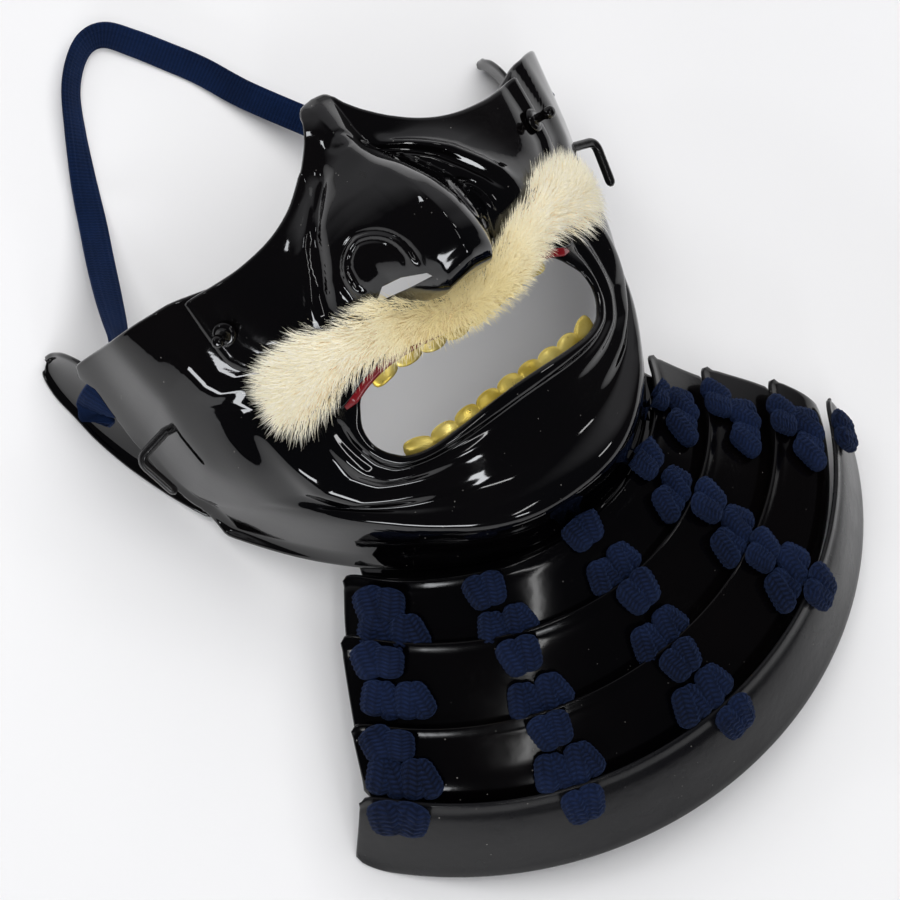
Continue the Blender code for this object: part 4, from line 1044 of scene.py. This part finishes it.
def earMesh(side):
    # Straight lines from the inner to the outer edge, hollowed by h sin(pi share), with a low bead
    # along the outer one.
    row = evenAt(earForm, np.linspace(0, 1, earPlate["columns"]))
    inner, outer = row[:, (1, 0, 2)], row[:, (3, 0, 4)]
    share = np.linspace(0, 1, earPlate["rows"])[:, None, None]
    leaf = inner * (1 - share) + outer * share
    leaf[..., 0] -= earPlate["hollow"] * np.sin(math.pi * share[..., 0]) - 0.5 * bump(share[..., 0], 0.9, 0.05)
    leaf[..., 2] = np.maximum(leaf[..., 2], earPlate["floor"] - place[2])
    return shellMesh(tuckIn(leaf * (side, 1, 1)), earPlate["wall"])


addPairs("black_lacquer", ("earPlate", "ear_plate", earMesh, blackLacquer))

print("throat guard")

# Arcs from the top edge of the first lame to the bottom edge of the last.
# columns: halfWidth, depth, endY, yaw (degrees), shiftX, endZ, midZ
guardArcs = np.array((
    (56.4, 29.2, -19.4, 0, -1.8, 32, 57), (67.6, 39, -32.1, 0.5, -2.2, 32, 55.4),
    (81.8, 42.2, -50.4, 3, -1.8, 31.5, 49.9), (92.2, 48.8, -65.9, 3.7, -0.8, 28.5, 43.9),
    (103.2, 56.8, -76.8, 5, 0.4, 3.2, 24.6),
))
guard = {
    "halfAngle": 60,
    "lames": 4,
    "wall": 1.4,
    "tilt": 2.4,
    "overlap": 0.16,
    "top": 0.14,  # how far the first lame's top edge dips in the middle
    "columns": 150,
    "rows": 22,
    "bead": 0.45,
    "floor": 0.36,  # the least height over the table
}
guardLimit = math.radians(guard["halfAngle"])


def guardPoint(angle, down):
    # x = W sin a / sin A, y = -depth (cos a - cos A)/(1 - cos A), z falls from the middle to the ends.
    halfWidth, depth, endY, yaw, shiftX, endZ, midZ = np.moveaxis(rowAt(guardArcs, down), -1, 0)
    yaw = np.radians(yaw)
    share = (np.cos(angle) - math.cos(guardLimit)) / (1 - math.cos(guardLimit))
    x = halfWidth / math.sin(guardLimit) * np.sin(angle)
    y = -depth * share
    z = endZ + (midZ - endZ) * share
    return np.stack([shiftX + x * np.cos(yaw) - y * np.sin(yaw), endY + x * np.sin(yaw) + y * np.cos(yaw), z], -1)


def guardNormal(angle, down):
    # Cross product of the two slopes, by small steps.
    step, last = 1e-3, len(guardArcs) - 1
    across = guardPoint(angle + step, down) - guardPoint(angle - step, down)
    along = guardPoint(angle, np.minimum(down + step, last)) - guardPoint(angle, np.maximum(down - step, 0))
    return unit(np.cross(along, across))


def lameLift(number, down):
    # A lame leans on the guard: its top edge stands out, its bottom edge tucks in.
    last = number < guard["lames"]
    share = (down - (number - 1)) / (1 + guard["overlap"] if last else 1)
    return guard["tilt"] * (1 - 2 * share) if last else guard["tilt"] * (1 - share)


def lameGrid(number):
    # Top edge first. The corners are rounded and a fine bead runs under the top edge.
    across = np.linspace(-1, 1, guard["columns"])[None]
    share = np.linspace(0, 1, guard["rows"])[:, None] ** 1.5
    corner = 0.12 * (1 - np.sqrt(1 - np.clip((np.abs(across) - 0.93) / 0.0701, 0, 1) ** 2))
    top = number - 1 + (guard["top"] * (1 - across ** 2) if number == 1 else 0) + corner
    bottom = number + (guard["overlap"] if number < guard["lames"] else 0) - corner
    down = top * (1 - share) + bottom * share
    angle = guardLimit * across + 0 * share
    lift = lameLift(number, down) + guard["bead"] * (bump(share, 0, 0.055) - 0.5 * bump(share, 0.12, 0.04))
    normal = guardNormal(angle, down)
    points = guardPoint(angle, down) + normal * lift[..., None]
    least = guard["floor"] - place[2] + guard["wall"] * np.maximum(normal[..., 2], 0)
    points[..., 2] = np.maximum(points[..., 2], least)
    return points, normal


for number in range(1, guard["lames"] + 1):
    points, normal = lameGrid(number)
    finish, slot = (satinBlack, "satin_black") if number == guard["lames"] else (hardLacquer, "black_lacquer")
    addPiece("lame%d" % number, shellMesh(points, guard["wall"], normal), finish, "lame_%d" % number)

neckBand = {
    "halfAngle": 46,
    "wall": 1.2,
    "inside": 2.6,  # from the jaw's outer face
    "under": ((0.14, 2), (0.55, 1.8)),  # places down the guard, and how deep under it
    "endIn": 4,  # degrees short of the guard's ends
    "columns": 110,
    "rows": 24,
}


def neckGrid():
    # From inside the jaw's rim, round under its edge, to inside the first lame.
    across = np.linspace(-1, 1, neckBand["columns"])
    angle = math.radians(neckBand["halfAngle"]) * across
    end = lastSection + 0 * angle
    rim = facePoint(angle, end)
    down = unit(rim - facePoint(angle, end - 0.1))
    inside, guardAngle = neckBand["inside"], math.radians(guard["halfAngle"] - neckBand["endIn"]) * across
    rows = [facePoint(angle, end - 0.4) - faceNormal(angle, end - 0.4) * inside,
            rim - faceNormal(angle, end - 0.01) * inside + down * 1.5]
    for at, deep in neckBand["under"]:
        rows.append(guardPoint(guardAngle, at + 0 * angle) - guardNormal(guardAngle, at + 0 * angle) * deep)
    flat = evenAt(np.reshape(rows, (4, -1)), np.linspace(0, 1, neckBand["rows"]))
    return flat.reshape(neckBand["rows"], -1, 3)


addPiece("neckBand", shellMesh(neckGrid(), neckBand["wall"]), blackLacquer, "neck_band")

print("lacing")

# Knots of the lacing, five to a lame from the left, with the first lame first.
# Across is a share of the half angle, down counts lames from the top. columns: across, down, width, length
hearts = np.array((
    (-0.85, 0.463, 16.5, 9.6), (-0.45, 0.363, 12.2, 9.8), (-0.01, 0.188, 12.2, 9.8),
    (0.41, 0.15, 12.6, 10.6), (0.74, 0, 12.8, 9.5), (-0.875, 1.263, 16.5, 9.6),
    (-0.425, 1.275, 12.6, 10.6), (0.015, 1.213, 12.6, 10.6), (0.43, 1.2, 12.6, 10.6),
    (0.84, 1.1, 12.8, 9.5), (-0.895, 2.25, 16.5, 9.6), (-0.435, 2.25, 12.6, 10.6),
    (-0.02, 2.238, 12.6, 10.6), (0.39, 2.175, 12.6, 10.6), (0.85, 2.1, 12.8, 9.5),
    (-0.895, 3.163, 18.5, 10.5), (-0.435, 3.188, 12.6, 10.6), (0.005, 3.175, 12.6, 10.6),
    (0.415, 3.062, 12.6, 10.6), (0.89, 3.125, 12.8, 9.5),
))
pairs = np.array((
    (-0.825, 0.85, 21, 10.5), (-0.43, 0.85, 16.5, 9.5), (0.005, 0.775, 16.5, 9.5),
    (0.39, 0.713, 16.5, 9.5), (0.725, 0.525, 19, 9.5), (-0.845, 1.663, 21, 10.5), (-0.425, 1.8, 18, 11),
    (-0.015, 1.8, 18, 11), (0.39, 1.713, 18, 11), (0.78, 1.525, 19, 9.5), (-0.88, 2.688, 21, 10.5),
    (-0.44, 2.75, 19.5, 11), (-0.03, 2.738, 19.5, 11), (0.39, 2.65, 19.5, 11), (0.83, 2.538, 19, 9.5),
))
lacing = {
    "rows": 34,
    "around": 34,
    "height": 4.6,
    "clearance": 0.2,
    "stitch": 0.5,  # how far a stitch stands out
    "stitchLength": 1.5,
    "stitchColumns": 8,  # round the cord
}


def cordPart(lame, start, end, width, height, seed):
    # A plump cord over the lame from start to end, each (across, down) on the guard.
    # Half width w = W/2 (1 - |2s - 1|^4)^0.5, and the V stitches stand out along the section's normal.
    s = np.linspace(0.004, 0.996, lacing["rows"])[:, None]
    t = np.linspace(0, 2 * math.pi, lacing["around"], endpoint=False)[None]
    t = t + 0.45 * np.cos(t)  # more points on the upper side
    across = start[0] * (1 - s) + end[0] * s
    down = start[1] * (1 - s) + end[1] * s
    angle = across * guardLimit
    centre, normal = guardPoint(angle, down), guardNormal(angle, down)
    head, foot = (guardPoint(guardLimit * at[0] + 0 * s, at[1] + 0 * s) for at in (start, end))
    wide = unit(np.cross(foot - head, normal))
    swell = np.sqrt(np.clip(1 - np.abs(2 * s - 1) ** 4, 0, 1))
    stitches = round(np.linalg.norm(centre[-1, 0] - centre[0, 0]) / lacing["stitchLength"])
    u = t / (2 * math.pi) * lacing["stitchColumns"]
    fold = np.abs((u % 1) - 0.5)
    wave = 0.5 + 0.5 * np.sin(2 * math.pi * (s * stitches + 1.2 * fold) + seed)
    bulge = lacing["stitch"] * (wave ** 0.7) * np.sqrt(np.abs(np.sin(math.pi * u))) * swell
    x = (width / 2 * swell + bulge) * np.cos(t)
    z = height / 2 + (height / 2 * swell + bulge) * np.sin(t)
    z = np.maximum(z, 0) + lameLift(lame, down) + lacing["clearance"]
    points = centre + wide * x[..., None] + normal * z[..., None]
    return points, np.stack(np.broadcast_arrays(t / (2 * math.pi) + 0.5, s), -1)


def addKnot(name, lame, parts, node):
    # The cords of one knot in one mesh, each a closed tube.
    points, uvs, quads, caps, offset = [], [], [], [], 0
    for number, (start, end, width, height) in enumerate(parts):
        grid, uv = cordPart(lame, start, end, width, height, 2.1 * number)
        rows, columns = grid.shape[:2]
        quads.append(gridQuads(rows, columns, around=True) + offset)
        last = offset + (rows - 1) * columns
        caps += [[offset + c for c in range(columns)][::-1], [last + c for c in range(columns)]]
        points.append(grid.reshape(-1, 3))
        uvs.append(uv.reshape(-1, 2))
        offset += rows * columns
    mesh = newMesh(np.concatenate(points), np.concatenate(quads), caps, np.concatenate(uvs))
    addPiece(name, mesh, blueCord, node)


def guardScale(across, down):
    # Millimetres for one unit of across and of down, at a place on the guard.
    step = 1e-3
    at = guardPoint(np.array((across, across + step, across)) * guardLimit, np.array((down, down, down + step)))
    return np.linalg.norm(at[1:] - at[0], axis=-1) / step


# Legs of the cords in a knot, top to bottom, as shares of its half width and half length.
# columns: acrossTop, downTop, acrossBottom, downBottom, width (share of the knot's), height (share)
heartLegs = np.array((
    (-0.52, -1, -0.2, 1, 0.58, 1), (0.5, -1.1, 0.16, 0.95, 0.58, 0.94),
))
pairLegs = np.array((
    (-0.44, -1, -0.8, 1.1, 0.36, 1), (-0.38, -0.9, -0.14, 1.1, 0.34, 0.85),
    (0.46, -1.1, 0.16, 1.1, 0.36, 0.95), (0.48, -1, 0.82, 0.9, 0.34, 0.85),
))
for word, table, legs in (("heart", hearts, heartLegs), ("pair", pairs, pairLegs)):
    for number, (across, down, width, length) in enumerate(table):
        lame, column = number // 5 + 1, number % 5 + 1
        at = np.array((across, down))
        half = np.array((width, length)) / 2 / guardScale(across, down)
        parts = [(at + leg[:2] * half, at + leg[2:4] * half, leg[4] * width, leg[5] * lacing["height"])
                 for leg in legs]
        addKnot("%sKnot%d%d" % (word, lame, column), lame, parts, "%s_%d_%d" % (word, lame, column))

print("table and light")


tableHalf = 1500
corners = np.array(((-1, -1, 0), (1, -1, 0), (1, 1, 0), (-1, 1, 0))) * tableHalf - place
floor = newObject("table", newMesh(corners, [[0, 1, 2, 3]]))
floor.data.materials.append(paleTable)

# Area lights. columns: name, place, aim, size, power, colour, seen in gloss
lights = (
    ("fill", (0.16, 0.44, 1.1), (0.1, 0.3, 0), (1.5, 1.5), 15.8, (1, 0.995, 0.985), False),
    ("front", (-0.25, -0.4, 1.2), (0, 0, 0), (0.9, 0.9), 3, (1, 0.995, 0.985), False),
    ("ceilingStrip", (-0.5, -0.62, 1.9), (-0.1, -0.1, 0), (0.1, 1.2), 3.6, (1, 1, 1), True),
    ("ceilingPanel", (0.95, 0.1, 1.3), (0, 0, 0.1), (0.14, 0.24), 0.8, (1, 1, 1), True),
    ("windowLeft", (-1.36, -0.74, 0.55), (0, 0, 0.1), (0.62, 0.26), 6, (0.95, 0.97, 1), True),
    ("windowFront", (-0.55, -1.3, 0.75), (0, 0, 0.1), (0.22, 0.2), 1.8, (0.95, 0.97, 1), True),
    ("windowBack", (-1.1, 0.78, 0.95), (0, 0, 0.1), (0.2, 0.12), 0.8, (0.95, 0.97, 1), True),
)
for name, at, aim, size, power, colour, glossy in lights:
    data = bpy.data.lights.new(name, "AREA")
    data.shape, data.size, data.size_y, data.energy, data.color = "RECTANGLE", *size, power, colour
    lamp = newObject(name, data)
    lamp.location = at
    lamp.rotation_euler = (Vector(aim) - Vector(at)).to_track_quat("-Z", "Y").to_euler()
    lamp.visible_glossy = glossy

world = bpy.data.worlds.new("room")
world.use_nodes = True
room = {
    "ceiling": (0.036, 0.036, 0.041, 1),
    "wall": (0.42, 0.42, 0.44, 1),  # pale wall low down behind and to the right
}


def roomColour():
    # The wall shows for low directions turned to +X and +Y, the rest is dark.
    tree = world.node_tree
    way = addNode(tree, "SeparateXYZ", {0: addNode(tree, "TexCoord").outputs["Generated"]}).outputs
    toward = plus(tree, times(tree, way[0], 0.3), times(tree, way[1], 0.95))
    share = times(tree, ramp(tree, toward, 0.25, 0.6), ramp(tree, way[2], 0.85, 0.65))
    colour = mixColour(tree, share, room["ceiling"], room["wall"])
    tree.links.new(colour, tree.nodes["Background"].inputs[0])


roomColour()
bpy.context.scene.world = world
bpy.context.scene.view_settings.view_transform = "Standard"
